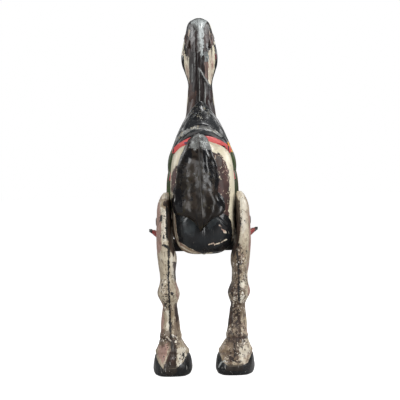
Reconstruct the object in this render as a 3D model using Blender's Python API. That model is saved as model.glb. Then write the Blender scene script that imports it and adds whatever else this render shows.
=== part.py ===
"""A pressed-steel ride-on horse that stands on four separate legs.

The body, neck, head, mane, tail and saddle are one hollow pressing of two welded halves.
Four leg pressings hang beside it on a hip rod and a shoulder rod with riveted ends. A flat
bar ties each pair of legs, and a round bar through the belly carries two foot rests.

Metres, +Z up. The horse looks along +Y and stands on z = 0, with its box centred on x = y = 0.
"""

import math

import bmesh
import bpy
import numpy as np
from mathutils import Matrix, Vector

# Overall size. The figure is drawn in units of a seventy-sixth of its height
HEIGHT = 0.76
UNIT = HEIGHT / 76

# Steelwork that is not part of the figure
ROD_RADIUS = 0.004
HEAD_RADIUS = 0.009
HEAD_HEIGHT = 0.0016
TIE_DEPTH = 0.017
TIE_THICK = 0.005
TIE_BITE = 0.016
REST_BAR_RADIUS = 0.005
REST_BITE = 0.012
FIT = 0.0004
LEG_GAP = 0.0028
LEG_SWAY = -0.0055
SWAY_TOP = 28.0

# Mesh fineness
STEPS = 2
BODY_SIDES = 28
HAIR_SIDES = 26
SADDLE_SIDES = 20
LEG_SIDES = 14
SMALL_SIDES = 10
ROUND_SIDES = 20

# Where the steelwork sits on the figure: y and z in units
HIP_PIVOT = (-23.6, 31.4)
SHOULDER_PIVOT = (14.6, 31.2)
HIND_TIE = (-18.9, 25.1)
FORE_TIE = (13.9, 25.1)
REST_BAR = (-2.0, 28.3)

# Trunk, neck and head: top point, low point, half width, height of the widest place from
# low to top, then how square the upper and lower halves are (2 is an ellipse)
TRUNK = [
    (-31.7, 40.0, -31.7, 31.5, 1.6, 0.50, 2.2, 2.2),
    (-31.0, 43.7, -31.1, 27.2, 4.4, 0.50, 2.5, 3.2),
    (-27.4, 47.4, -27.8, 24.7, 6.15, 0.50, 2.8, 3.8),
    (-21.0, 48.3, -21.8, 26.6, 6.20, 0.50, 2.7, 3.4),
    (-14.0, 47.0, -14.5, 27.2, 6.40, 0.54, 2.6, 3.0),
    (-5.0, 46.0, -5.0, 25.0, 7.00, 0.58, 2.6, 2.7),
    (4.5, 47.2, 5.3, 25.4, 6.90, 0.55, 2.3, 2.5),
    (10.0, 51.6, 13.6, 28.0, 6.45, 0.46, 1.8, 2.4),
    (12.0, 58.5, 21.8, 30.6, 5.40, 0.40, 1.6, 2.3),
    (13.5, 64.8, 25.5, 39.8, 3.70, 0.38, 1.6, 2.1),
    (15.8, 70.2, 24.4, 49.6, 2.75, 0.46, 2.0, 2.0),
    (19.4, 74.6, 22.7, 58.2, 2.60, 0.54, 2.3, 2.0),
    (23.6, 76.0, 21.8, 63.2, 2.95, 0.58, 2.5, 2.0),
    (26.4, 72.9, 21.4, 64.5, 3.65, 0.54, 2.4, 2.3),
    (28.6, 68.6, 22.7, 63.2, 3.60, 0.50, 2.1, 2.4),
    (30.9, 64.4, 25.8, 60.4, 2.70, 0.56, 2.1, 2.1),
    (33.2, 60.3, 28.4, 57.4, 2.40, 0.56, 2.3, 2.2),
    (33.9, 57.6, 30.2, 55.7, 2.10, 0.54, 2.2, 2.2),
    (33.1, 55.8, 32.1, 55.4, 0.80, 0.50, 2.0, 2.0),
]

# Tail: centre line, half width, half thickness and how far its edges wrap forward
TAIL = [
    (-21.0, 46.9, 0.9, 0.7, 0.1),
    (-26.3, 48.0, 2.1, 1.2, 0.5),
    (-30.8, 45.2, 2.9, 1.3, 1.0),
    (-32.3, 39.8, 4.2, 1.3, 1.6),
    (-32.3, 35.2, 5.0, 1.2, 2.1),
    (-31.9, 32.4, 3.0, 1.1, 1.0),
    (-31.3, 30.2, 0.8, 0.6, 0.1),
]

# Mane, from the forelock down the crest: the same columns
MANE = [
    (26.6, 73.0, 0.6, 0.4, 0.1),
    (23.4, 75.3, 1.7, 0.5, 1.0),
    (19.3, 74.0, 2.1, 0.6, 2.9),
    (15.8, 69.7, 2.3, 0.6, 3.9),
    (13.4, 64.3, 2.5, 0.7, 4.6),
    (11.8, 58.3, 2.6, 0.7, 3.6),
    (11.2, 53.6, 0.7, 0.4, 0.3),
]

# Saddle seat from cantle to pommel: y, top, half width at its skirt, skirt height, shape
SADDLE = [
    (-12.0, 48.6, 5.5, 44.4, 2.1),
    (-10.0, 51.6, 6.8, 43.0, 1.8),
    (-6.0, 49.6, 7.25, 42.6, 2.2),
    (1.0, 49.8, 7.35, 42.4, 2.1),
    (5.8, 55.4, 7.15, 43.0, 1.5),
    (7.8, 56.8, 7.0, 43.4, 1.4),
    (10.4, 53.6, 5.6, 45.6, 1.5),
]

# Hind leg: height, inner and outer face from the hip's side, back and front
HIND_LEG = [
    (37.3, 0.50, 1.45, -26.0, -21.2),
    (36.2, 0.15, 2.25, -28.7, -18.3),
    (34.0, 0.00, 2.90, -30.4, -16.4),
    (28.0, -0.05, 3.15, -31.4, -16.0),
    (24.0, -0.95, 2.95, -30.6, -18.4),
    (20.0, -0.65, 2.40, -30.0, -21.8),
    (17.0, -1.45, 2.80, -30.9, -22.8),
    (14.4, -1.10, 1.98, -29.5, -23.7),
    (11.0, -1.55, 2.25, -28.2, -23.8),
    (7.8, -2.00, 2.40, -28.9, -22.8),
    (4.9, -3.45, 3.35, -29.2, -20.3),
    (2.0, -4.10, 3.85, -29.6, -18.7),
    (0.5, -3.75, 3.55, -29.0, -19.0),
    (0.0, -2.95, 2.75, -28.3, -19.7),
]

# Fore leg: the same columns, from the shoulder's side
FORE_LEG = [
    (36.7, 0.45, 1.30, 12.2, 16.6),
    (35.6, 0.15, 2.05, 10.1, 18.7),
    (33.0, 0.00, 2.60, 8.9, 20.1),
    (27.0, -0.05, 2.95, 9.6, 19.6),
    (22.0, -0.35, 2.75, 12.0, 18.0),
    (18.3, -0.45, 2.75, 12.6, 17.9),
    (15.2, -0.35, 2.35, 13.2, 17.0),
    (10.2, -0.45, 2.25, 13.2, 16.9),
    (7.4, -0.95, 2.50, 12.5, 17.9),
    (4.8, -1.65, 3.05, 12.4, 19.9),
    (2.0, -2.55, 3.50, 11.9, 21.5),
    (0.5, -2.25, 3.20, 12.4, 21.3),
    (0.0, -1.65, 2.60, 13.2, 20.6),
]

# Foot rest: x, half length, underside and top
FOOT_REST = [
    (7.7, 1.3, 27.3, 29.0),
    (8.4, 2.7, 27.2, 29.0),
    (9.2, 3.7, 27.3, 29.0),
    (10.1, 4.1, 27.7, 29.1),
    (10.9, 3.5, 28.4, 29.3),
    (11.6, 2.2, 28.9, 29.5),
]

# Outlines on the side of the horse, y and z: saddle flap and blanket
FLAP = [
    (-8.6, 46.0), (-8.9, 41.5), (-7.6, 36.6), (-4.4, 33.4), (-0.6, 33.0),
    (2.4, 35.8), (3.6, 40.6), (3.8, 46.0),
]
BLANKET = [
    (-14.6, 60.0), (-14.9, 45.6), (-13.4, 41.6), (-10.4, 39.6), (6.0, 39.6),
    (9.4, 41.6), (10.8, 45.2), (10.8, 60.0),
]
PATCH_REACH = 9.0
PATCH_RINGS = (5, 18)
FLAP_RISE = 0.45
BLANKET_RISE = 0.35

# How square the sections are, and how deep the seat reaches below its skirt
HAIR_SQUARE = 2.2
LEG_SQUARE = 2.5
REST_SQUARE = 3.0
SADDLE_UNDER_SQUARE = 2.4
SADDLE_UNDER = 4.0

# Ridges in the hair: how many across, and how high
TAIL_RIDGES = 5
MANE_RIDGES = 4
RIDGE_RISE = 0.16

# Ears and eyes: x on the right, y, z, half width and half depth
EAR = [
    (1.55, 24.6, 73.4, 0.6, 0.6),
    (1.85, 23.3, 73.0, 0.95, 0.75),
    (2.15, 21.7, 72.0, 1.05, 0.75),
    (2.4, 20.2, 70.7, 0.8, 0.6),
    (2.55, 18.9, 69.3, 0.3, 0.25),
]
EYE = [
    (2.8, 27.9, 69.7, 0.45, 0.4),
    (3.0, 27.2, 69.3, 0.85, 0.75),
    (3.1, 26.4, 68.9, 0.8, 0.7),
    (3.0, 25.7, 68.5, 0.4, 0.35),
]


def spline(table):
    """Rows of a smooth Catmull-Rom curve through the rows of a table."""
    rows = np.array(table, float)
    ends = np.vstack([2 * rows[0] - rows[1], rows, 2 * rows[-1] - rows[-2]])
    found = []
    for i in range(1, len(ends) - 2):
        a, b, c, d = ends[i - 1 : i + 3]
        for t in np.arange(STEPS) / STEPS:
            bend = (2 * a - 5 * b + 4 * c - d) * t**2 + (3 * b - a - 3 * c + d) * t**3
            found.append(0.5 * (2 * b + (c - a) * t + bend))
    found.append(rows[-1])
    return found


def turns(sides):
    """Equal angles round a ring."""
    return [2 * math.pi * i / sides for i in range(sides)]


def bulge(angle, square):
    """Cosine and sine of a superellipse whose squareness is 2 for a plain ellipse."""
    c, s = math.cos(angle), math.sin(angle)
    power = 2 / square
    return math.copysign(abs(c) ** power, c), math.copysign(abs(s) ** power, s)


def collection(name):
    """A new collection in the scene."""
    made = bpy.data.collections.new(name)
    bpy.context.scene.collection.children.link(made)
    return made


def material(name, colour, roughness, metallic=0.0):
    """A Principled material of one colour."""
    made = bpy.data.materials.new(name)
    made.use_nodes = True
    shader = made.node_tree.nodes["Principled BSDF"]
    shader.inputs["Base Color"].default_value = (*colour, 1)
    shader.inputs["Roughness"].default_value = roughness
    shader.inputs["Metallic"].default_value = metallic
    return made


def loft(name, rings, home, finish=None):
    """A closed skin through rings of equally many points, capped flat at both ends."""
    mesh = bpy.data.meshes.new(name)
    form = bmesh.new()
    loops = [[form.verts.new(point) for point in ring] for ring in rings]
    for near, far in zip(loops, loops[1:]):
        for i in range(len(near)):
            j = (i + 1) % len(near)
            form.faces.new((near[i], near[j], far[j], far[i]))
    form.faces.new(loops[0])
    form.faces.new(loops[-1])
    bmesh.ops.recalc_face_normals(form, faces=form.faces)
    form.to_mesh(mesh)
    form.free()
    mesh.shade_smooth()
    made = bpy.data.objects.new(name, mesh)
    if finish:
        mesh.materials.append(finish)
    home.objects.link(made)
    return made


def trunk_rings(rise=0.0):
    """Sections of the trunk, neck and head, swelled outwards by `rise` units."""
    rings = []
    for row in spline(TRUNK):
        top, low = Vector((0, *row[0:2])), Vector((0, *row[2:4]))
        up = (top - low).normalized()
        top, low = top + up * rise, low - up * rise
        half, widest, upper, lower = row[4] + rise, row[5], row[6], row[7]
        middle = low.lerp(top, widest)
        ring = []
        for angle in turns(BODY_SIDES):
            above = math.cos(angle) >= 0
            c, s = bulge(angle, upper if above else lower)
            reach = (top - middle).length if above else (middle - low).length
            ring.append((middle + up * (c * reach) + Vector((s * half, 0, 0))) * UNIT)
        rings.append(ring)
    return rings


def hair_rings(table, ridges):
    """Sections across hanging hair, bent so that its edges lie on the hide, with ridged locks."""
    rows = spline(table)
    rings = []
    for i, row in enumerate(rows):
        before, after = rows[max(i - 1, 0)], rows[min(i + 1, len(rows) - 1)]
        along = Vector((0, after[0] - before[0], after[1] - before[1])).normalized()
        outward = Vector((0, along.z, -along.y))
        centre = Vector((0, row[0], row[1]))
        ring = []
        for angle in turns(HAIR_SIDES):
            c, s = bulge(angle, HAIR_SQUARE)
            ridge = RIDGE_RISE * math.cos(ridges * math.pi * s) if c > 0 else 0
            out = c * (row[3] + ridge) - row[4] * s * s
            ring.append((centre + Vector((s * row[2], 0, 0)) + outward * out) * UNIT)
        rings.append(ring)
    return rings


def saddle_rings():
    """Arched sections of the seat, each closed below inside the trunk."""
    rings = []
    for y, top, half, skirt, square in spline(SADDLE):
        ring = []
        for angle in turns(SADDLE_SIDES):
            above = math.cos(angle) >= 0
            c, s = bulge(angle, square if above else SADDLE_UNDER_SQUARE)
            reach = top - skirt if above else SADDLE_UNDER
            ring.append(Vector((s * half, y, skirt + c * reach)) * UNIT)
        rings.append(ring)
    return rings


def leg_root(table):
    """How far from the middle a leg hangs: clear of the widest section of trunk beside it."""
    back = min(row[3] for row in table)
    front = max(row[4] for row in table)
    return max(row[4] for row in TRUNK if back <= row[0] and row[2] <= front) * UNIT + LEG_GAP


def leg_rings(table, side):
    """Level sections of a leg beside the trunk, on the left or right."""
    rings = []
    root = leg_root(table)
    for z, inner, outer, back, front in spline(table):
        centre_x = root + (inner + outer) / 2 * UNIT
        centre_y = (back + front) / 2 * UNIT
        sway = LEG_SWAY * max(0.0, 1 - z / SWAY_TOP)
        ring = []
        for angle in turns(LEG_SIDES):
            c, s = bulge(angle, LEG_SQUARE)
            x = centre_x + s * (outer - inner) / 2 * UNIT
            y = centre_y + c * (front - back) / 2 * UNIT
            ring.append(Vector((side * x + sway, y, z * UNIT)))
        rings.append(ring)
    return rings


def blob_rings(path, side):
    """Round sections along a path of centres, on the left or right of the head."""
    rings = []
    centres = [Vector((side * x, y, z)) for x, y, z, wide, deep in path]
    for i, (here, row) in enumerate(zip(centres, path)):
        along = (centres[min(i + 1, len(path) - 1)] - centres[max(i - 1, 0)]).normalized()
        across = along.cross(Vector((0, 0.4, 1))).normalized()
        other = across.cross(along)
        rings.append([
            (here + across * (row[3] * math.sin(a)) + other * (row[4] * math.cos(a))) * UNIT
            for a in turns(SMALL_SIDES)
        ])
    return rings


def rivet_rings(seat, y, z):
    """Sections of a rod along X with a low rounded head at each end, beyond its seats."""
    half = [
        (seat + HEAD_HEIGHT, HEAD_RADIUS * 0.55),
        (seat + HEAD_HEIGHT * 0.55, HEAD_RADIUS * 0.9),
        (seat, HEAD_RADIUS),
        (seat, ROD_RADIUS),
    ]
    whole = [(-x, radius) for x, radius in half] + half[::-1]
    return [
        [Vector((x, y + radius * math.cos(a), z + radius * math.sin(a))) for a in turns(ROUND_SIDES)]
        for x, radius in whole
    ]


def foot_rest_rings(side):
    """Sections of a foot rest from the horse's side outwards, rising to its tip."""
    rings = []
    for x, half, low, top in spline(FOOT_REST):
        ring = []
        for angle in turns(ROUND_SIDES):
            c, s = bulge(angle, REST_SQUARE)
            z = (low + top) / 2 + s * (top - low) / 2
            ring.append(Vector((side * x, REST_BAR[0] + c * half, z)) * UNIT)
        rings.append(ring)
    return rings


def prism(name, outline, x_from, x_to, home):
    """A slab across the horse with an outline drawn on its side."""
    rings = [[Vector((x, y, z)) * UNIT for y, z in outline] for x in (x_from, x_to)]
    return loft(name, rings, home)


def round_bar(name, radius, reach, place, home, finish=None):
    """A round bar along X, as far to the left as to the right, at a y and z in units."""
    bpy.ops.mesh.primitive_cylinder_add(
        vertices=ROUND_SIDES, radius=radius, depth=2 * reach,
        location=(0, place[0] * UNIT, place[1] * UNIT), rotation=(0, math.pi / 2, 0),
    )
    return adopt(bpy.context.object, name, home, finish)


def box(name, size, centre, home, finish=None):
    """A plain block of a size at a centre."""
    bpy.ops.mesh.primitive_cube_add(size=1, location=centre)
    made = bpy.context.object
    made.data.transform(Matrix.Diagonal((*size, 1)))
    return adopt(made, name, home, finish)


def adopt(made, name, home, finish):
    """Names an object, moves it to its collection and gives it its finish."""
    made.name = name
    made.data.name = name
    for old in list(made.users_collection):
        old.objects.unlink(made)
    home.objects.link(made)
    if finish:
        made.data.materials.clear()
        made.data.materials.append(finish)
    return made


def boolean(target, tool, operation):
    """Joins a tool to a target, cuts it away or keeps what they share. The tool is hidden."""
    step = target.modifiers.new(tool.name, "BOOLEAN")
    step.operation, step.object, step.solver = operation, tool, "EXACT"
    tool.hide_render = True
    tool.display_type = "WIRE"


def raised_patch(name, outline, rise, x_from, x_to, tools):
    """The part of a swelled trunk that lies inside an outline, to be fused to the trunk."""
    rings = trunk_rings(rise)[PATCH_RINGS[0] : PATCH_RINGS[1]]
    patch = loft(name, rings, tools)
    boolean(patch, prism(name + "_outline", outline, x_from, x_to, tools), "INTERSECT")
    return patch


def side_word(side):
    """The horse's own side for an x sign: its right is at +X."""
    return "right" if side > 0 else "left"


def build_body(home, tools, finish):
    """The welded body pressing with its tail, saddle, blanket, flaps, mane and ears."""
    body = loft("body", trunk_rings(), home, finish)
    forms = [
        loft("tail_form", hair_rings(TAIL, TAIL_RIDGES), tools),
        loft("mane_form", hair_rings(MANE, MANE_RIDGES), tools),
        raised_patch("blanket", BLANKET, BLANKET_RISE, -PATCH_REACH, PATCH_REACH, tools),
        loft("saddle_form", saddle_rings(), tools),
    ]
    for side in (-1, 1):
        word = side_word(side)
        rise = BLANKET_RISE + FLAP_RISE
        x_from, x_to = side * PATCH_REACH / 2, side * PATCH_REACH
        forms.append(raised_patch("flap_" + word, FLAP, rise, x_from, x_to, tools))
        forms.append(loft("ear_" + word, blob_rings(EAR, side), tools))
        forms.append(loft("eye_" + word, blob_rings(EYE, side), tools))
    for form in forms:
        boolean(body, form, "UNION")
    return body


def build_leg_pair(word, table, home, finish):
    """Two legs, each one pressing, by the x sign of their side."""
    return {
        side: loft(f"leg_{word}_{side_word(side)}", leg_rings(table, side), home, finish)
        for side in (-1, 1)
    }


def outer_face(table, height):
    """How far out a leg reaches under a rivet head at a height in units, in metres."""
    rows = np.array(table, float)[::-1]
    under = np.linspace(height - HEAD_RADIUS / UNIT, height + HEAD_RADIUS / UNIT, 9)
    return leg_root(table) + np.interp(under, rows[:, 0], rows[:, 2]).max() * UNIT


def build_pivot(name, place, table, targets, home, tools, finish):
    """A rod through the body and a pair of legs, riveted over into a low head at each end."""
    seat = outer_face(table, place[1]) + FIT
    loft(name, rivet_rings(seat, place[0] * UNIT, place[1] * UNIT), home, finish)
    bore = round_bar(name + "_bore", ROD_RADIUS + FIT, seat + HEAD_RADIUS, place, tools)
    for target in targets:
        boolean(target, bore, "DIFFERENCE")


def build_tie(name, place, table, legs, home, tools, finish):
    """A flat bar on edge whose ends sit in slots in the inner faces of a pair of legs."""
    reach = leg_root(table) + TIE_BITE
    centre = Vector((0, place[0] * UNIT, place[1] * UNIT + TIE_DEPTH / 2))
    box(name, (2 * reach, TIE_THICK, TIE_DEPTH), centre, home, finish)
    slot_size = [2 * (reach + FIT), TIE_THICK + 2 * FIT, TIE_DEPTH + 2 * FIT]
    slot = box(name + "_slot", slot_size, centre, tools)
    for leg in legs.values():
        boolean(leg, slot, "DIFFERENCE")


def build_foot_rests(body, home, tools, steel, finish):
    """Two foot rests on the ends of a round bar that runs through the belly."""
    end = FOOT_REST[0][0] * UNIT + REST_BITE
    round_bar("rest_bar", REST_BAR_RADIUS, end, REST_BAR, home, steel)
    bore = round_bar("rest_bore", REST_BAR_RADIUS + FIT, end + FIT, REST_BAR, tools)
    boolean(body, bore, "DIFFERENCE")
    for side in (-1, 1):
        rest = loft("foot_rest_" + side_word(side), foot_rest_rings(side), home, finish)
        boolean(rest, bore, "DIFFERENCE")


def centre_on_box(home):
    """Hangs the whole horse on one empty and slides it so that its box is centred."""
    bpy.context.view_layer.update()
    graph = bpy.context.evaluated_depsgraph_get()
    corners = []
    for piece in home.objects:
        shape = piece.evaluated_get(graph)
        corners += [shape.matrix_world @ Vector(corner) for corner in shape.bound_box]
    middle = [(min(c[i] for c in corners) + max(c[i] for c in corners)) / 2 for i in (0, 1)]
    anchor = bpy.data.objects.new("stance", None)
    bpy.context.scene.collection.objects.link(anchor)
    for piece in list(bpy.data.objects):
        if piece is not anchor:
            piece.parent = anchor
    anchor.location = (-middle[0], -middle[1], 0)


def main():
    for old in list(bpy.data.objects):
        bpy.data.objects.remove(old)
    home = collection("pressed steel horse")
    tools = collection("cutters and forms")
    cream = material("aged cream paint", (0.62, 0.56, 0.43), 0.45)
    black = material("black enamel", (0.02, 0.02, 0.022), 0.25)
    red = material("red enamel", (0.55, 0.07, 0.06), 0.4)
    steel = material("dark steel", (0.12, 0.11, 0.1), 0.5, 1.0)
    body = build_body(home, tools, cream)
    hind = build_leg_pair("hind", HIND_LEG, home, cream)
    fore = build_leg_pair("fore", FORE_LEG, home, cream)
    build_pivot("hip_rod", HIP_PIVOT, HIND_LEG, [body, *hind.values()], home, tools, steel)
    build_pivot("shoulder_rod", SHOULDER_PIVOT, FORE_LEG, [body, *fore.values()], home, tools, steel)
    build_tie("hind_tie", HIND_TIE, HIND_LEG, hind, home, tools, black)
    build_tie("fore_tie", FORE_TIE, FORE_LEG, fore, home, tools, black)
    build_foot_rests(body, home, tools, steel, red)
    centre_on_box(home)


main()
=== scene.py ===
"""The looks of a pressed-steel ride-on toy horse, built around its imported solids.

The figure is drawn in units of a seventy-sixth of its height. Each sub-assembly is a class with
its sizes, its meshes and its paint. Paint areas seen in the photograph are outlines in its
pixels, laid on the metal from where the camera stands and kept as distances on each mesh.
"""

import logging
import math
from dataclasses import dataclass, field
from enum import Enum

import bpy
import numpy as np
from mathutils import Matrix, Vector


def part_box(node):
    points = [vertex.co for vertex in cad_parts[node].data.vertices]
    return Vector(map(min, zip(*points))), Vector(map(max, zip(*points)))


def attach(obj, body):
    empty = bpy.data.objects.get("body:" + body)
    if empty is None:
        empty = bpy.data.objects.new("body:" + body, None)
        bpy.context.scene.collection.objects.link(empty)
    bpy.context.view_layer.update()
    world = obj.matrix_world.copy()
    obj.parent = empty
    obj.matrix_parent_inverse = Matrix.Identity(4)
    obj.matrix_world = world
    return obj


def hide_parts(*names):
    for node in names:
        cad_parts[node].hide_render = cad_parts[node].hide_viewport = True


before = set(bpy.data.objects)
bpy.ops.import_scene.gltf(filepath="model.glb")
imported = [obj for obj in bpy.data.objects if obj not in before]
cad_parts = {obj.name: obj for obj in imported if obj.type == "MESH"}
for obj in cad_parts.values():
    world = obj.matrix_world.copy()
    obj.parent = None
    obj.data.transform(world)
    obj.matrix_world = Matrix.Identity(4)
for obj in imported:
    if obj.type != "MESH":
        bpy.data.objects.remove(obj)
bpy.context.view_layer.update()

log = logging.getLogger("horse")

Colour = tuple[float, float, float]
# Corners in the photograph's pixels, across and down by turns
Outline = tuple[float, ...]
NodeTree = bpy.types.NodeTree
Socket = bpy.types.NodeSocket
Material = bpy.types.Material
Object = bpy.types.Object

HIP_PIVOT = (-23.6, 31.4)
ROD_LOW, ROD_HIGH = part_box("hip_rod")
UNIT = (ROD_LOW.z + ROD_HIGH.z) / 2 / HIP_PIVOT[1]
SHIFT = (ROD_LOW.y + ROD_HIGH.y) / 2 / UNIT - HIP_PIVOT[0]

# Trunk, neck and head: top and low point, half width, widest place, squareness above and below
TRUNK = (
    (-31.7, 40.0, -31.7, 31.5, 1.6, 0.50, 2.2, 2.2),
    (-31.0, 43.7, -31.1, 27.2, 4.4, 0.50, 2.5, 3.2),
    (-27.4, 47.4, -27.8, 24.7, 6.15, 0.50, 2.8, 3.8),
    (-21.0, 48.3, -21.8, 26.6, 6.20, 0.50, 2.7, 3.4),
    (-14.0, 47.0, -14.5, 27.2, 6.40, 0.54, 2.6, 3.0),
    (-5.0, 46.0, -5.0, 25.0, 7.00, 0.58, 2.6, 2.7),
    (4.5, 47.2, 5.3, 25.4, 6.90, 0.55, 2.3, 2.5),
    (10.0, 51.6, 13.6, 28.0, 6.45, 0.46, 1.8, 2.4),
    (12.0, 58.5, 21.8, 30.6, 5.40, 0.40, 1.6, 2.3),
    (13.5, 64.8, 25.5, 39.8, 3.70, 0.38, 1.6, 2.1),
    (15.8, 70.2, 24.4, 49.6, 2.75, 0.46, 2.0, 2.0),
    (19.4, 74.6, 22.7, 58.2, 2.60, 0.54, 2.3, 2.0),
    (23.6, 76.0, 21.8, 63.2, 2.95, 0.58, 2.5, 2.0),
    (26.4, 72.9, 21.4, 64.5, 3.65, 0.54, 2.4, 2.3),
    (28.6, 68.6, 22.7, 63.2, 3.60, 0.50, 2.1, 2.4),
    (30.9, 64.4, 25.8, 60.4, 2.70, 0.56, 2.1, 2.1),
    (33.2, 60.3, 28.4, 57.4, 2.40, 0.56, 2.3, 2.2),
    (33.9, 57.6, 30.2, 55.7, 2.10, 0.54, 2.2, 2.2),
    (33.1, 55.8, 32.1, 55.4, 0.80, 0.50, 2.0, 2.0),
)
# Hanging hair: y and z of the centre line, sideways shift, half width to the left and to the right,
# half thickness, how far the left and the right edge wrap forward
TAIL = (
    (-21.0, 46.9, -0.3, 0.9, 0.9, 0.7, 0.1, 0.1),
    (-26.3, 48.0, -0.6, 1.9, 1.9, 1.2, 0.5, 0.5),
    (-30.8, 45.2, -0.55, 3.8, 2.8, 1.3, 1.2, 0.9),
    (-32.2, 39.8, -0.5, 4.8, 4.1, 1.3, 1.9, 1.4),
    (-32.3, 37.0, -0.45, 5.2, 3.7, 1.3, 2.3, 1.2),
    (-32.3, 34.8, -0.4, 5.8, 4.9, 1.3, 2.6, 1.5),
    (-32.3, 32.8, -0.3, 5.4, 4.2, 1.3, 2.4, 1.2),
    (-32.1, 31.8, -0.2, 2.6, 2.0, 1.2, 0.7, 0.4),
    (-31.6, 30.3, -0.4, 0.75, 0.75, 0.7, 0.2, 0.2),
    (-31.4, 29.5, -0.6, 0.25, 0.25, 0.3, 0.1, 0.1),
)
MANE = (
    (26.6, 73.0, 0.0, 0.6, 0.6, 0.4, 0.1, 0.1),
    (23.4, 75.3, 0.0, 1.7, 1.7, 0.5, 1.0, 1.0),
    (19.3, 74.0, 0.0, 2.1, 2.1, 0.6, 2.9, 2.9),
    (15.8, 69.7, 0.0, 2.3, 2.3, 0.6, 3.9, 3.9),
    (13.4, 64.3, 0.0, 2.5, 2.5, 0.7, 4.6, 4.6),
    (11.8, 58.3, 0.0, 2.6, 2.6, 0.7, 3.6, 3.6),
    (11.2, 53.6, 0.0, 0.7, 0.7, 0.4, 0.3, 0.3),
)
# Seat from cantle to pommel: y, top, half width, skirt height, squareness
SADDLE = (
    (-12.0, 48.6, 5.5, 44.4, 2.1),
    (-10.0, 51.6, 6.8, 43.0, 1.8),
    (-6.0, 49.6, 7.25, 42.6, 2.2),
    (1.0, 49.8, 7.35, 42.4, 2.1),
    (5.8, 55.4, 7.15, 43.0, 1.5),
    (7.8, 56.8, 7.0, 43.4, 1.4),
    (10.4, 53.6, 5.6, 45.6, 1.5),
)
# Legs: height, inner and outer face from the root, back and front
HIND_LEG = (
    (37.3, 0.50, 1.45, -26.0, -21.2),
    (36.2, 0.15, 2.25, -28.7, -18.3),
    (34.0, 0.00, 2.90, -30.4, -16.4),
    (28.0, -0.05, 3.15, -31.4, -16.0),
    (24.0, -0.95, 2.95, -30.6, -18.4),
    (20.0, -0.65, 2.40, -30.0, -21.8),
    (17.0, -1.45, 2.80, -30.9, -22.8),
    (14.4, -1.10, 1.98, -29.5, -23.7),
    (11.0, -1.55, 2.25, -28.2, -23.8),
    (7.8, -2.00, 2.40, -28.9, -22.8),
    (4.9, -3.45, 3.35, -29.2, -20.3),
    (2.0, -4.10, 3.85, -29.6, -18.7),
    (0.5, -3.75, 3.55, -29.0, -19.0),
    (0.0, -2.95, 2.75, -28.3, -19.7),
)
FORE_LEG = (
    (36.7, 0.45, 1.30, 12.2, 16.6),
    (35.6, 0.15, 2.05, 10.1, 18.7),
    (33.0, 0.00, 2.60, 8.9, 20.1),
    (27.0, -0.05, 2.95, 9.6, 19.6),
    (22.0, -0.35, 2.75, 12.0, 18.0),
    (18.3, -0.45, 2.75, 12.6, 17.9),
    (15.2, -0.35, 2.35, 13.2, 17.0),
    (10.2, -0.45, 2.25, 13.2, 16.9),
    (7.4, -0.95, 2.50, 12.5, 17.9),
    (4.8, -1.65, 3.05, 12.4, 19.9),
    (2.0, -2.55, 3.50, 11.9, 21.5),
    (0.5, -2.25, 3.20, 12.4, 21.3),
    (0.0, -1.65, 2.60, 13.2, 20.6),
)
# Foot rest: x, half length, underside and top
FOOT_REST = (
    (7.7, 1.3, 27.3, 29.0),
    (8.4, 2.7, 27.2, 29.0),
    (9.2, 3.7, 27.3, 29.0),
    (10.1, 4.1, 27.7, 29.1),
    (10.9, 3.5, 28.4, 29.3),
    (11.6, 2.2, 28.9, 29.5),
)
# Saddle flap outline and the blanket's lower hem, y and z
FLAP = (
    (-8.6, 46.0), (-8.9, 41.5), (-7.6, 36.6), (-4.4, 33.4), (-0.6, 33.0),
    (2.4, 35.8), (3.6, 40.6), (3.8, 46.0),
)
HEM = ((-14.9, 45.6), (-13.4, 41.6), (-10.4, 39.6), (6.0, 39.6), (9.4, 41.6), (10.8, 45.2))
# Ear and eye: x on the right, y, z, half width, half depth
EAR = (
    (1.55, 24.6, 73.4, 0.6, 0.6),
    (1.85, 23.3, 73.0, 0.95, 0.75),
    (2.15, 21.7, 72.0, 1.05, 0.75),
    (2.4, 20.2, 70.7, 0.8, 0.6),
    (2.55, 18.9, 69.3, 0.3, 0.25),
)
EYE = (
    (2.8, 27.9, 69.7, 0.45, 0.4),
    (3.0, 27.2, 69.3, 0.85, 0.75),
    (3.1, 26.4, 68.9, 0.8, 0.7),
    (3.0, 25.7, 68.5, 0.4, 0.35),
)


class Side(Enum):
    """The horse's own side, by the sign of x."""

    LEFT = -1
    RIGHT = 1

    @property
    def word(self) -> str:
        """The side's name as the nodes spell it."""
        return self.name.lower()


class Slot(Enum):
    """The record's slots for the pieces over the solids, passed along but not used."""

    CREAM = "cream_paint"
    BLACK = "black_enamel"
    RED = "red_enamel"


# Drawing and measuring

TURN = 2 * math.pi
TINY = 1e-9
NEARLY = 0.999
# Distances for places that are well outside an area
OUTSIDE = -9.0
NOWHERE = -2.0
# How finely a ring is measured, and the waves of an uneven surface
RING_STEPS = 4001
WAVE_COUNT = 6
WAVE_SPREAD = (0.6, 1.5)
WAVE_TOP = 3.2
# How quickly the border of a wavy area turns, for each pixel
RIPPLE = 0.42
FINE_RIPPLE = 1.07


def curve(table: tuple, steps: list[int]) -> np.ndarray:
    """A smooth curve through the rows of a table.

    Args:
        table: rows of numbers that the curve passes through.
        steps: how many steps each stretch between two rows has.

    Returns:
        One row for each step, and the last row.
    """
    rows = np.array(table, float)
    ends = np.vstack([2 * rows[0] - rows[1], rows, 2 * rows[-1] - rows[-2]])
    found = []
    for i, count in enumerate(steps):
        a, b, c, d = ends[i : i + 4]
        t = (np.arange(count) / count)[:, None]
        bend = (2 * a - 5 * b + 4 * c - d) * t**2 + (3 * b - a - 3 * c + d) * t**3
        found.append(0.5 * (2 * b + (c - a) * t + bend))
    return np.vstack([*found, rows[-1:]])


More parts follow.
